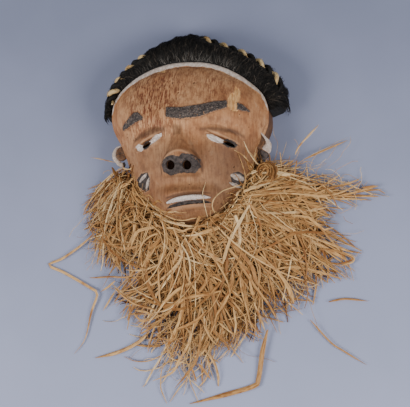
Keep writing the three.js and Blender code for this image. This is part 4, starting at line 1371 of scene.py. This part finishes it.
def make_ears(material):
    for name, ear in EARS.items():
        (rim, share), bowl = ear_rim(ear), ear_bowl(ear)
        mesh = new_mesh(name, *join([rim, bowl]))
        count = len(mesh.vertices)
        along = np.ones(count)
        along[:EAR_STEPS * EAR_SIDES] = np.repeat(share, EAR_SIDES)
        in_rim = np.arange(count) < len(rim[0])
        painted = in_rim & (along < ear["dark_end"])
        give(mesh, "white", np.where(painted, 0.35, -PAINT_LIMIT))
        give(mesh, "dark", np.where(painted, -PAINT_LIMIT, np.where(in_rim, 1.5, -0.15)))
        give(mesh, "bare", np.full(count, -PAINT_LIMIT))
        give(mesh, "stain_and_shade", np.where(in_rim, 0.4, 0.8))
        give(mesh, "grime", 0.35 + 0.35 * soft_step(along, 0.1, 0.45))
        give(mesh, "weather", np.full(count, 0.3))
        give(mesh, "crest", np.zeros(count))
        add_piece(name, mesh, material)


# The wig

def wig_angle(share):
    return np.radians(WIG_FROM + (WIG_TO - WIG_FROM) * share)


def wig_reach(share):
    return smooth_curve(np.array(WIG_REACH, float), np.clip(share, 0, 1) * (len(WIG_REACH) - 1))


def wig_point(share, down, lift):
    """A point of the wig's surface: share along it, down its section from 0 to 6, and lift off it."""
    angle = wig_angle(share)
    end = np.minimum(1, 5 * np.sin(pi * np.clip(share, 0, 1)) + 0.25)
    rib = np.cos(2 * pi * WIG_RIBS * share)
    reach = wig_reach(share) * (1 + 0.025 * rib)
    top = edge_height(angle) - RIM_BAND_DROP
    out = reach * smooth_curve([0, 0.25, 0.58, 0.85, 1, 0.97, 0.8], down) - 1.2 * np.clip(1 - down, 0, 1)
    height = top * smooth_curve([1, 1, 1, 0.72, 0.42, 0.16, 0], down)
    height = height + end * (WIG_CREST + 0.4 * rib) * smooth_curve([0, 1, 0.55, 0.1, 0, 0, 0], down)
    lean = np.radians(90 - 24 * np.clip(down, 0, 4))
    distance = outline(angle) + WALL_FLARE + WIG_GAP + out + lift * np.cos(lean)
    height = np.maximum(height + lift * np.sin(lean), 0.3)
    return np.stack([distance * np.cos(angle), distance * np.sin(angle), height], axis=-1)


def make_felt(material):
    """The matted ground of the wig, closed against the face and the floor."""
    share = np.linspace(0, 1, FELT_STATIONS)[:, None]
    down = np.linspace(0, 6, FELT_ROWS)[None]
    sunk = -FELT_DEPTH - FELT_END_DEPTH * soft_step(np.abs(share - 0.5), 0.46, 0.5)
    surface = wig_point(share + 0 * down, down + 0 * share, sunk + 0 * down)
    angle = wig_angle(share[:, 0])
    foot = outline(angle) + WALL_FLARE + WIG_GAP
    inner = np.stack([foot * np.cos(angle), foot * np.sin(angle), np.full(FELT_STATIONS, 0.3)], axis=1)
    rings = np.concatenate([surface, inner[:, None]], axis=1)
    mesh = new_mesh("coiffure_ground", *cap_rings(rings))
    add_piece("coiffure_ground", mesh, material, ("coiffure",))


def in_stretch(share, stretches):
    return np.logical_or.reduce([(share > low) & (share < high) for low, high in stretches])


def pile(layer, material):
    """Radial fibres laid over the wig from the rim outwards."""
    rng = np.random.default_rng(layer["seed"])
    count = layer["count"]
    u = np.linspace(0, 1, PILE_POINTS)[None]

    def drawn(low, high):
        return rng.uniform(low, high, (count, 1))

    share = drawn(0.004, 0.99)
    span = drawn(*PILE_LENGTH) / (0.3 * wig_reach(share) + 4)
    down = np.clip(drawn(*layer["down"]) + span * u, 0, 5.9)
    bare_cord = in_stretch(share, CORD_SHOWS) & (drawn(0, 1) < PILE_OFF_CORD)
    limit = PILE_END - PILE_END_LEFT * (share < CORD_LEFT["from"]) + 0.25 * u
    down = np.where(bare_cord, np.minimum(down, limit), down)
    room = np.minimum(1, np.minimum(share, 1 - share) / 0.05)
    drift = rng.normal(0, 0.012, (count, 1)) * u + rng.normal(0, 0.004, (count, 1)) * np.sin(4 * u)
    wave = 1.2 * np.sin(pi * u) * drawn(0, 1)
    raised = drawn(*layer["lift"]) * u**1.5 - 1.4 + wave
    fan = 0.035 * soft_step(share, 0.93, 1) - 0.02 * soft_step(-share, -0.05, 0)
    paths = wig_point(share + room * drift + fan * u, down, raised)
    widths = drawn(*layer["width"]) * (1 - 0.75 * u**3)
    roll = drawn(-1.2, 1.2) + 0 * u
    points, triangles, data = fibres(paths, widths, roll, np.full(count, 0.3), rng.uniform(0, 1, count) ** 2)
    mesh = new_mesh(layer["name"], points, triangles)
    give(mesh, "fibre", data)
    # Some fibres near the rim get grey flecks: kaolin dust and painted sheen.
    dusty_sheen = (drawn(0, 1) < 0.35) * drawn(0.1, 0.6)
    middle = soft_step(share, 0.2, 0.4) * soft_step(share, 0.85, 0.66)
    near_rim = soft_step(down, 1.3, 0.2)
    give(mesh, "dust_and_sheen", np.repeat((dusty_sheen * near_rim * (0.25 + 0.75 * middle)).ravel(), 3))
    add_piece(layer["name"], mesh, material)


# The twisted cord

def cord_point(share):
    """A point of the cord's middle line, which dips under the pile where the cord doesn't show."""
    along = CORD_FROM + (CORD_TO - CORD_FROM) * share
    angle = wig_angle(along)
    low, high = CORD_SHOWS[0][1], CORD_SHOWS[1][0]
    hidden = soft_step(along, low - 0.03, low + 0.05) * soft_step(along, high + 0.03, high - 0.05)
    left = soft_step(-along, -CORD_LEFT["from"], -CORD_LEFT["to"])
    distance = outline(angle) + wig_reach(along) - CORD_INSET
    distance = distance - CORD_DIP_IN * hidden - CORD_LEFT["inset"] * left
    height = CORD_HEIGHT - CORD_DIP_DOWN * hidden + CORD_LEFT["rise"] * left
    return np.stack([distance * np.cos(angle), distance * np.sin(angle), height], axis=-1)


def ply_path(phase):
    """One ply's winding course round the cord's middle line."""
    share = np.linspace(0, 1, PLY_STEPS)
    centre = cord_point(share)
    step = np.linalg.norm(np.diff(centre, axis=0), axis=1)
    pitch = CORD_PITCH + CORD_PITCH_GROWTH * share[1:]
    turns = CORD_FIRST_TURN + np.concatenate([[0], np.cumsum(step / pitch)])
    ahead = np.gradient(centre, axis=0)
    ahead /= np.linalg.norm(ahead, axis=1, keepdims=True)
    out = np.stack([-ahead[:, 1], ahead[:, 0], 0 * share], axis=1)
    turn = (2 * pi * turns + phase)[:, None]
    return centre + CORD_HELIX * (out * np.cos(turn) + np.array([0, 0, 1.0]) * np.sin(turn))


def ply_fuzz(rng, path):
    """Stray hairs that stand off a ply."""
    at = rng.integers(6, PLY_STEPS - 6, FUZZ_HAIRS)
    share = np.linspace(0, 1, FUZZ_POINTS)
    u = share[None, :, None]
    out = rng.normal(0, 1, (FUZZ_HAIRS, 1, 3))
    out /= np.linalg.norm(out, axis=2, keepdims=True)
    ahead = (path[at + 5] - path[at - 5])[:, None]
    stand = PLY_RADIUS * 0.9 + rng.uniform(0.2, 1.6, (FUZZ_HAIRS, 1, 1)) * u**2
    hair = path[at][:, None] + out * stand + ahead * u * 0.6
    hair[..., 2] = np.maximum(hair[..., 2], 1)
    widths = np.full((FUZZ_HAIRS, FUZZ_POINTS), FUZZ_WIDTH) * (1 - 0.6 * share)
    return fibres(hair, widths, np.zeros(widths.shape), np.zeros(FUZZ_HAIRS), np.full(FUZZ_HAIRS, 0.6))


def make_ply(name, node, phase, material, seed):
    """One ply: a yarn whose own strands show as fine slanting grooves, with stray fuzz."""
    rng = np.random.default_rng(seed)
    path = ply_path(phase)
    angles = 2 * pi * np.arange(PLY_SIDES) / PLY_SIDES
    twist = np.linspace(0, YARN_TWIST, PLY_STEPS)[:, None]
    grooves = YARN_GROOVE_DEPTH * np.abs(np.cos(YARN_GROOVES * angles[None] - twist))
    ripple = grooves + rng.normal(0, YARN_ROUGHNESS, (PLY_STEPS, PLY_SIDES))
    share = np.linspace(0, 1, PLY_STEPS)
    taper = PLY_RADIUS * np.minimum(1, 0.4 + 12 * np.minimum(share, share[::-1]))
    yarn = tube(path, taper - 0.15, PLY_SIDES, ripple)
    ring = np.repeat(np.arange(PLY_STEPS), PLY_SIDES)
    yarn_data = np.zeros((len(yarn[0]), 3))
    yarn_data[:len(ring), 0] = np.tile(np.cos(YARN_GROOVES * angles), PLY_STEPS) + ring * 0.05
    yarn_data[:len(ring), 1] = ring
    yarn_data[:, 2] = 0.45
    *fuzz, fuzz_data = ply_fuzz(rng, path)
    mesh = new_mesh(name, *join([yarn, fuzz]))
    give(mesh, "fibre", np.concatenate([yarn_data, fuzz_data]))
    add_piece(name, mesh, material, (node,), crease=60)


# The beard

def jaw_degrees(x, y):
    degrees = np.degrees(np.arctan2(y, x))
    return np.where(degrees > 90, degrees - 360, degrees)


def beard_top(x, y):
    """Height of the beard's upper surface."""
    degrees = jaw_degrees(x, y)
    out = np.hypot(x, y) - outline(np.radians(degrees))
    reach = np.interp(degrees, BEARD_ANGLES, BEARD_REACH)
    root = np.interp(degrees, BEARD_ANGLES, BEARD_ROOT)
    part = np.clip(out / reach, 0, 1)
    return BEARD_FLOOR + (root - BEARD_FLOOR) * (1 - part) ** 1.1 * (1 + 0.4 * part)


FLOW_LINES = np.stack([resample(line, 24) for line in FLOW])
ALONG = np.linspace(0, 1, STRAND_POINTS)[None]


def flow_point(place, along):
    """A point of the beard's flow: place counts its lines, along runs from the jaw to the tips."""
    lines, count = FLOW_LINES.shape[:2]
    place = np.clip(place, 0, lines - 1.001)
    low = np.floor(place).astype(int)
    part = (place - low)[..., None]
    step = along * (count - 1)
    first = np.clip(np.floor(step).astype(int), 0, count - 2)
    rest = (step - first)[..., None]

    def on_line(line):
        return FLOW_LINES[line, first] * (1 - rest) + FLOW_LINES[line, first + 1] * rest

    return on_line(low) * (1 - part) + on_line(low + 1) * part


def flow_heading(spots):
    """Direction of the beard's flow at some places: the mean of the flow lines near by."""
    knots = FLOW_LINES.reshape(-1, 2)
    ways = np.gradient(FLOW_LINES, axis=1).reshape(-1, 2)
    ways /= np.linalg.norm(ways, axis=1, keepdims=True)
    apart = ((spots[:, None] - knots[None]) ** 2).sum(axis=2)
    mean = (1 / (apart + 40) ** 1.5) @ ways
    return np.arctan2(mean[:, 1], mean[:, 0])


def wood_top(x, y):
    """Height at which a strand lies on the carving."""
    return face_height(x, y) + np.clip(carved_relief(x, y), 0, None) + 0.9


def clear_of_face(points, allowed):
    """Keeps strands out of the wood: they stop at its wall, or ride over its edge as far as allowed."""
    x, y, z = points[..., 0], points[..., 1], points[..., 2]
    angle, distance = np.arctan2(y, x), np.hypot(x, y)
    rim = outline(angle)
    rides = allowed[:, None] > 0
    limit = np.where(rides, rim - allowed[:, None], rim + WALL_FLARE + 1.2)
    grow = np.maximum(distance, limit) / np.maximum(distance, 1)
    x, y = x * grow, y * grow
    on_wood = (np.hypot(x, y) < rim + WALL_FLARE + 1) & rides
    return np.stack([x, y, np.where(on_wood, np.maximum(z, wood_top(x, y)), z)], axis=-1)


def ride_over(rng, spot, ready):
    """How far each strand may lie over the wood: a little at the chin, more at the cheeks."""
    degrees = jaw_degrees(spot[:, 0], spot[:, 1])
    most_allowed = np.interp(degrees, RIDE_ANGLES, RIDE_REACH)
    return np.where(ready, rng.uniform(0.1, 1, len(spot)) ** 1.5 * most_allowed, 0)


def cut_short(paths, kept):
    """Ends each path where it is first not kept, and spreads its points over the rest."""
    count, points = paths.shape[:2]
    first = np.where((~kept).any(axis=1), (~kept).argmax(axis=1), points - 1)
    first = np.maximum(first, 4)
    place = np.linspace(0, 1, points)[None] * first[:, None]
    low = np.minimum(np.floor(place).astype(int), points - 2)
    part = (place - low)[..., None]
    row = np.arange(count)[:, None]
    return paths[row, low] * (1 - part) + paths[row, low + 1] * part


def clear_wood(flat, allowed):
    """Which points of some strands are outside the wood, or over it no further than allowed.

    A strand's first points don't count, because strands are rooted under the wood's edge.
    """
    distance = np.hypot(flat[..., 0], flat[..., 1])
    clear = distance > outline(np.arctan2(flat[..., 1], flat[..., 0])) - allowed[:, None] - 0.5
    return clear | (np.arange(flat.shape[1]) < ROOT_POINTS)


def in_beard(flat, slack):
    """Which points of some strands lie inside the beard's outline, or past it by less than slack."""
    return inside_distance(flat[..., 0], flat[..., 1], BEARD_EDGE) + slack > 0


def top_at(flat):
    return beard_top(flat[..., 0], flat[..., 1])


def in_the_round(flat, height):
    return np.concatenate([flat, height[..., None]], axis=2)


def settled(paths, allowed, kept, tint):
    """The strands that keep a fair part of their length when they are cut, lifted over the wood."""
    alive = kept[:, :ROOT_POINTS].all(axis=1)
    return clear_of_face(paths, allowed)[alive], tint[alive]


def walk(rng, spot, heading, reach, lean, curve, stray, pull):
    """Paths walked from some spots: each strand strays, curls and kinks, drawn on by the flow."""
    step = reach / (STRAND_POINTS - 1)
    places = [spot]
    for _ in range(STRAND_POINTS - 1):
        wanted = flow_heading(spot) + lean
        kink = (rng.uniform(0, 1, len(spot)) < KINK_CHANCE) * rng.normal(0, KINK_TURN, len(spot))
        heading = heading + pull * np.sin(wanted - heading) + curve * step
        heading = heading + rng.normal(0, stray, len(spot)) + kink
        spot = spot + step[:, None] * np.stack([np.cos(heading), np.sin(heading)], axis=1)
        places.append(spot)
    return np.stack(places, axis=1)


def beard_paths(rng, low, high, locks, count):
    """Paths and tints of a hank's strands: those of one lock lean and curl much alike."""
    owners = rng.integers(0, locks, count)
    scattered = rng.uniform(0, 1, count) < SCATTERED_SHARE

    def shared(spread):
        return spread * (LOCK_SHARED * rng.normal(0, 1, locks)[owners] + LOCK_OWN * rng.normal(0, 1, count))

    place = rng.uniform(low, high, locks)[owners] + rng.normal(0, 0.22, count)
    along = np.where(scattered, rng.uniform(0.06, 0.7, count), rng.uniform(0, 0.04, count))
    spot = flow_point(place, along) + rng.normal(0, 1.5, (count, 2))
    spot = spot + scattered[:, None] * rng.normal(0, 5, (count, 2))
    heading = flow_heading(spot) + np.where(scattered, shared(0.8), shared(0.55))
    reach = np.where(scattered, rng.uniform(*SCATTERED_REACH, count), rng.uniform(*LOCK_REACH, count))
    lean, curl, stray, pull = LOCK_RUN
    flat = walk(rng, spot, heading, reach, shared(lean), shared(curl), stray, pull)
    layer = rng.uniform(0.0, 1.1, locks)[owners] * 0.75 + rng.uniform(0, 1, count) * 0.32
    layer = np.clip(layer, 0.03, 1.1)
    allowed = ride_over(rng, spot, layer > 0.6)
    fringe = (rng.uniform(0, 1, count) < 0.09) * rng.uniform(6, 24, count)
    slack = np.minimum(shared(7) + 1 + fringe, FRINGE_LIMIT)
    kept = in_beard(flat, slack[:, None]) & clear_wood(flat, allowed)
    flat = cut_short(flat, kept)
    depth = layer[:, None] + rng.normal(0, 0.12, (count, 1)) * (ALONG - 0.5)
    depth = depth + 0.05 * np.sin(rng.uniform(3, 8, (count, 1)) * ALONG)
    rise = np.where(scattered[:, None], 1, 0.45 + 0.55 * soft_step(reach[:, None] * ALONG, 0, 14))
    height = 0.9 + (top_at(flat) - 0.9) * np.clip(depth, 0.02, 1.12) * rise
    # Lower strands are tinted darker as painted shade between strands, over each strand's and lock's own
    # random tint.
    tint = 0.36 * rng.uniform(0, 1, count) + 0.54 * layer + 0.22 * rng.uniform(-1, 1, locks)[owners]
    return settled(in_the_round(flat, height), allowed, kept, np.clip(tint + 0.01, 0, 1))


def tangle_paths(rng, count):
    """Curly strands that run along the jaw, some of them over the wood."""
    degrees = rng.uniform(-158, -22, count)
    angle = np.radians(degrees)
    out = outline(angle) + rng.normal(7, 8, count)
    spot = np.stack([out * np.cos(angle), out * np.sin(angle)], axis=1)
    way = np.where(rng.uniform(0, 1, count) < 0.5, 90, -90)
    heading = np.radians(degrees + way) + rng.normal(0, 0.6, count)
    reach = rng.uniform(*TANGLE_REACH, count)
    lean, curl, stray, pull = TANGLE_RUN
    leans, curls = rng.normal(0, lean, count), rng.normal(0, curl, count)
    flat = walk(rng, spot, heading, reach, leans, curls, stray, pull)
    layer = rng.uniform(0.4, 1.1, count)
    allowed = ride_over(rng, spot, layer > 0.5)
    kept = in_beard(flat, 4) & clear_wood(flat, allowed)
    flat = cut_short(flat, kept)
    paths = in_the_round(flat, top_at(flat) * layer[:, None])
    return settled(paths, allowed, kept, np.clip(rng.normal(0.38, 0.22, count), 0, 1))


def frizz_paths(rng, count):
    """Fine hairs that stand up out of the beard."""
    place = rng.uniform(0, len(FLOW) - 1, count)
    spot = flow_point(place, rng.uniform(0, 0.95, count)) + rng.normal(0, 5, (count, 2))
    heading = flow_heading(spot) + rng.normal(0, 1.2, count)
    reach = rng.uniform(*FRIZZ_REACH, count)
    lean, curl, stray, pull = FRIZZ_RUN
    leans, curls = rng.normal(0, lean, count), rng.normal(0, curl, count)
    flat = walk(rng, spot, heading, reach, leans, curls, stray, pull)
    stand = rng.uniform(0, 5, (count, 1)) * np.sin(pi * ALONG) + 0.6
    height = top_at(flat) * rng.uniform(0.7, 1, (count, 1)) + stand
    allowed = ride_over(rng, spot, np.ones(count, bool))
    kept = clear_wood(flat, allowed)
    paths = cut_short(in_the_round(flat, height), kept)
    return settled(paths, allowed, kept, rng.uniform(0.5, 1, count))


def band_paths(rng, count):
    """Broad strips that lie in loose curves on top of the beard."""
    place = rng.uniform(1.5, len(FLOW) - 2.5, count)
    spot = flow_point(place, rng.uniform(0.02, 0.55, count)) + rng.normal(0, 4, (count, 2))
    heading = flow_heading(spot) + rng.normal(0, 0.6, count)
    reach = rng.uniform(*BAND_REACH, count)
    lean, curl, stray, pull = BAND_RUN
    curls, leans = rng.normal(0, curl, count), rng.normal(0, lean, count)
    flat = walk(rng, spot, heading, reach, leans, curls, stray, pull)
    allowed = np.zeros(count)
    kept = in_beard(flat, rng.uniform(-4, 12, (count, 1))) & clear_wood(flat, allowed)
    flat = cut_short(flat, kept)
    arch = rng.uniform(0, 5, (count, 1)) * np.sin(pi * ALONG)
    height = top_at(flat) * rng.uniform(0.85, 1.02, (count, 1))
    height = height * (0.6 + 0.4 * soft_step(ALONG, 0, 0.2)) + arch
    return settled(in_the_round(flat, height), allowed, kept, rng.uniform(0.3, 0.9, count))


def wisp_paths(rng, count):
    """Long thin strands that hang out of the beard's lower edge."""
    place = rng.uniform(4.6, 8.6, count)
    spot = flow_point(place, rng.uniform(0.7, 0.95, count)) + rng.normal(0, 5, (count, 2))
    heading = rng.normal(-1.55, 0.45, count)
    reach = rng.uniform(*WISP_REACH, count)
    lean, curl, stray, pull = WISP_RUN
    curls, leans = rng.normal(0, curl, count), rng.normal(0, lean, count)
    flat = walk(rng, spot, heading, reach, leans, curls, stray, pull)
    height = rng.uniform(3, 9, (count, 1)) * (1 - ALONG) ** 0.7 + 1.4
    return in_the_round(flat, height), rng.uniform(0.55, 1, count)


def strand_widths(rng, paths):
    """Widths along some strands: each has its own, ripples a little and narrows at its ends."""
    count, points = paths.shape[:2]
    base = np.clip(rng.lognormal(WIDTH_MEAN, WIDTH_SPREAD, count), *WIDTH_LIMITS)
    u = np.linspace(0, 1, points)[None]
    ends = np.minimum(1, 0.5 + 5 * u) * np.minimum(1, 0.42 + 5 * (1 - u))
    ripple = 1 + 0.18 * np.sin(rng.uniform(0, 6, (count, 1)) + rng.uniform(3, 9, (count, 1)) * u)
    return base[:, None] * ends * ripple


def make_strands(name, paths, widths, tint, material, seed, replaced=(), twist=0.9, tip=0.45):
    """One piece of many strips: tip is how far they stand tipped, twist how far they turn on the way."""
    rng = np.random.default_rng(seed)
    count, points = widths.shape
    u = np.linspace(0, 1, points)[None]
    roll = rng.normal(0, tip, (count, 1)) + rng.normal(0, twist, (count, 1)) * u
    *shape, data = fibres(paths, widths, roll, rng.uniform(0.05, 0.34, count), tint)
    mesh = new_mesh(name, *shape)
    give(mesh, "fibre", data)
    return add_piece(name, mesh, material, replaced, crease=35)


def make_beard(material):
    for seed, (node, low, high, locks, count) in enumerate(HANKS, start=61):
        rng = np.random.default_rng(seed)
        paths, tint = beard_paths(rng, low, high, locks, count)
        widths = strand_widths(rng, paths)
        make_strands(node.replace("raffia", "beard"), paths, widths, tint, material, seed + 10, (node,))
    rng = np.random.default_rng(66)
    paths, tint = tangle_paths(rng, TANGLE_STRANDS)
    make_strands("beard_jaw_tangle", paths, strand_widths(rng, paths) * 0.8, tint, material, 67)
    paths, tint = frizz_paths(rng, FRIZZ_HAIRS)
    make_strands("beard_frizz", paths, np.full(paths.shape[:2], FRIZZ_WIDTH), tint, material, 68)
    paths, tint = band_paths(rng, BAND_STRIPS)
    widths = strand_widths(rng, paths) * 1.2
    make_strands("beard_bands", paths, widths, tint * BAND_SHADE, material, 69, twist=0.5)
    paths, tint = wisp_paths(rng, WISPS)
    make_strands("beard_wisps", paths, strand_widths(rng, paths) * 0.9, tint, material, 70)


def drawn_strands(items, points, height):
    """Paths and widths of strands given one by one, at a height found from their places."""
    paths, widths = [], []
    u = np.linspace(0, 1, points)
    for width, corners in items:
        flat = resample(corners, points)
        if flat.shape[1] == 2:
            flat = np.concatenate([flat, height(flat[:, 0], flat[:, 1])[:, None]], axis=1)
        paths.append(flat)
        widths.append(width * np.minimum(1, 0.35 + 4 * u) * np.minimum(1, 0.12 + 3.2 * (1 - u)))
    return np.stack(paths), np.stack(widths)


def over_wood(x, y):
    """Height of a strand that lies across the wood's edge."""
    inside = np.hypot(x, y) < outline(np.arctan2(y, x))
    return np.where(inside, wood_top(x, y), beard_top(x, y) + 1)


def make_drawn_strands(material):
    rng = np.random.default_rng(80)

    def tints(items, low, high):
        return rng.uniform(low, high, len(items))

    on_top = drawn_strands(TOP_STRANDS, 26, lambda x, y: beard_top(x, y) + 1.5)
    make_strands("beard_top_strands", *on_top, tints(TOP_STRANDS, 0.3, 0.75), material, 81, twist=0.5)
    over = drawn_strands(FACE_STRANDS, 30, over_wood)
    make_strands("face_strands", *over, tints(FACE_STRANDS, 0.6, 1), material, 82, twist=0.4)
    stray = drawn_strands([(HAIR_WIDTH, line) for line in HAIRS], 24, lambda x, y: HAIR_HEIGHT + 0 * x)
    make_strands("stray_hairs", *stray, tints(HAIRS, 0.6, 1), material, 83)
    nodes = [f"raffia_strand_{k + 1:02d}" for k in range(len(LOOSE_STRANDS))]
    loose = drawn_strands(LOOSE_STRANDS, 40, None)
    tint = tints(LOOSE_STRANDS, 0.4, 0.8)
    make_strands("loose_strands", *loose, tint, material, 84, nodes, twist=0.1, tip=0.1)


def collar_path(share):
    angle = np.radians(COLLAR_FROM + (COLLAR_TO - COLLAR_FROM) * share)
    distance = outline(angle) + WALL_FLARE + WIG_GAP + COLLAR_RADIUS
    height = np.full_like(distance, COLLAR_HEIGHT)
    return np.stack([distance * np.cos(angle), distance * np.sin(angle), height], axis=-1)


def roll_paths(rng):
    """Strips of raffia wound round and round into the collar's roll."""
    u = np.linspace(0, 1, ROLL_POINTS)[None]

    def drawn(low, high):
        return rng.uniform(low, high, (ROLL_STRIPS, 1))

    share = np.clip(drawn(-0.02, 0.86) + drawn(0.1, 0.2) * u, 0, 1)
    centre = collar_path(share)
    ahead = np.gradient(centre, axis=1)
    ahead /= np.linalg.norm(ahead, axis=2, keepdims=True) + 1e-9
    out = np.stack([ahead[..., 1], -ahead[..., 0], 0 * share], axis=-1)
    turn = (drawn(0, 2 * pi) + drawn(1.2, 2.2) * 2 * pi * u)[..., None]
    radius = COLLAR_RADIUS * drawn(0.55, 0.98)[..., None]
    return centre + radius * (out * np.cos(turn) + np.array([0, 0, 1.0]) * np.sin(turn))


def coil_paths(rng):
    """The roll's loose end on the right, where its strands turn round in a coil."""
    column = (COIL_STRIPS, 1)
    u = np.linspace(0, 1, COIL_POINTS)[None]
    turn = rng.uniform(-0.6, 3.4, column) + rng.uniform(0.8, 2.6, column) * (u - 0.5)
    size = rng.uniform(0.35, 1.05, column) + rng.normal(0, 0.16, column) * (u - 0.5)
    x = COIL_X + COIL_HALF_WIDTH * size * np.cos(turn) + rng.normal(0, 1.2, column)
    y = COIL_Y + COIL_HALF_HEIGHT * size * np.sin(turn) + rng.normal(0, 1.2, column)
    z = COIL_LEVEL + 6 * np.sin(pi * np.clip(size, 0, 1)) + rng.uniform(-5, 1.5, column)
    return clear_of_face(np.stack([x, y, z], axis=-1), np.full(COIL_STRIPS, COIL_RIDE))


def make_collar(material):
    rng = np.random.default_rng(91)
    rolled = roll_paths(rng)
    tint = rng.uniform(0.1, 0.7, ROLL_STRIPS)
    widths = strand_widths(rng, rolled) * 1.4
    make_strands("collar_roll", rolled, widths, tint, material, 92, ("raffia_collar",), twist=0.2)
    coiled = coil_paths(rng)
    widths = strand_widths(rng, coiled) * 0.7
    tint = rng.uniform(0.05, 0.6, COIL_STRIPS)
    make_strands("collar_coil", coiled, widths, tint, material, 93, twist=0.3)


# Floor, light and camera

def make_stage():
    mesh = bpy.data.meshes.new("studio_floor")
    edge = [(-1, -1), (1, -1), (1, 1), (-1, 1)]
    mesh.from_pydata([(FLOOR_REACH * x, FLOOR_REACH * y, 0) for x, y in edge], [], [(0, 1, 2, 3)])
    mesh.materials.append(floor_material())
    floor = bpy.data.objects.new("studio_floor", mesh)
    bpy.context.scene.collection.objects.link(floor)


def add_light(name, place):
    """A square soft box that shines on the middle of the object."""
    light = bpy.data.lights.new(name, "AREA")
    light.size = BOX_SIZE
    light.energy = BOX_POWER
    light.color = BOX_COLOUR
    lamp = bpy.data.objects.new(name, light)
    lamp.location = place
    lamp.rotation_euler = (-Vector(place)).to_track_quat("-Z", "Y").to_euler()
    bpy.context.scene.collection.objects.link(lamp)


def make_lights():
    x, y, z = BOX_PLACE
    add_light("box_left", (-x, y, z))
    add_light("box_right", (x, y, z))
    world = bpy.data.worlds.new("studio_air")
    bpy.context.scene.world = world
    world.use_nodes = True
    background = world.node_tree.nodes["Background"]
    background.inputs["Color"].default_value = AIR_COLOUR
    background.inputs["Strength"].default_value = AIR_STRENGTH


def make_camera():
    """Looks down on the mask, a little from its right and from its chin."""
    back = Vector((tan(radians(CAMERA_TILT_RIGHT)), -tan(radians(CAMERA_TILT_CHIN)), 1)).normalized()
    up = (Vector((0, 1, 0)) - back * back.y).normalized()
    right = up.cross(back)
    data = bpy.data.cameras.new("camera")
    data.lens = CAMERA_LENS
    data.sensor_width = 36
    camera = bpy.data.objects.new("camera", data)
    bpy.context.scene.collection.objects.link(camera)
    placed = Matrix((right, up, back)).transposed().to_4x4()
    placed.translation = Vector(to_frame(CAMERA_TARGET)) + back * CAMERA_DISTANCE
    camera.matrix_world = placed
    bpy.context.scene.camera = camera


def corners(box):
    return [list(corner) for corner in box]


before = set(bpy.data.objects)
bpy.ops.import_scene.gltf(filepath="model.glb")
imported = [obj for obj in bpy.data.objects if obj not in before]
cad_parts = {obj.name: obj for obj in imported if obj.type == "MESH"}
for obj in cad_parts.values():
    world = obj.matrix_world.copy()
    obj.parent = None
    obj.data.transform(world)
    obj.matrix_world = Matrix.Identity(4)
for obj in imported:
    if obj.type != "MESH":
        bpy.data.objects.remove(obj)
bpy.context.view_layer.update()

wood = wood_material()
straw = fibre_material("raffia_fibre", RAFFIA_TONES, RAFFIA_SHADE, 0.6, 0.12)
black_fibre = fibre_material("black_fibre", BLACK_TONES, BLACK_SHADE, 0.75, 0.1, dusty_sheen=True)
cream_fibre = fibre_material("cream_fibre", CREAM_TONES, CREAM_SHADE, 0.8, 0.15)

make_camera()
make_face(wood)
make_ears(wood)
make_felt(felt_material())
for layer in PILES:
    pile(layer, black_fibre)
make_ply("cord_black_ply", "coiffure_cord_black", 0, black_fibre, 73)
make_ply("cord_cream_ply", "coiffure_cord_cream", pi, cream_fibre, 74)
make_collar(straw)
make_beard(straw)
make_drawn_strands(straw)
make_stage()
make_lights()
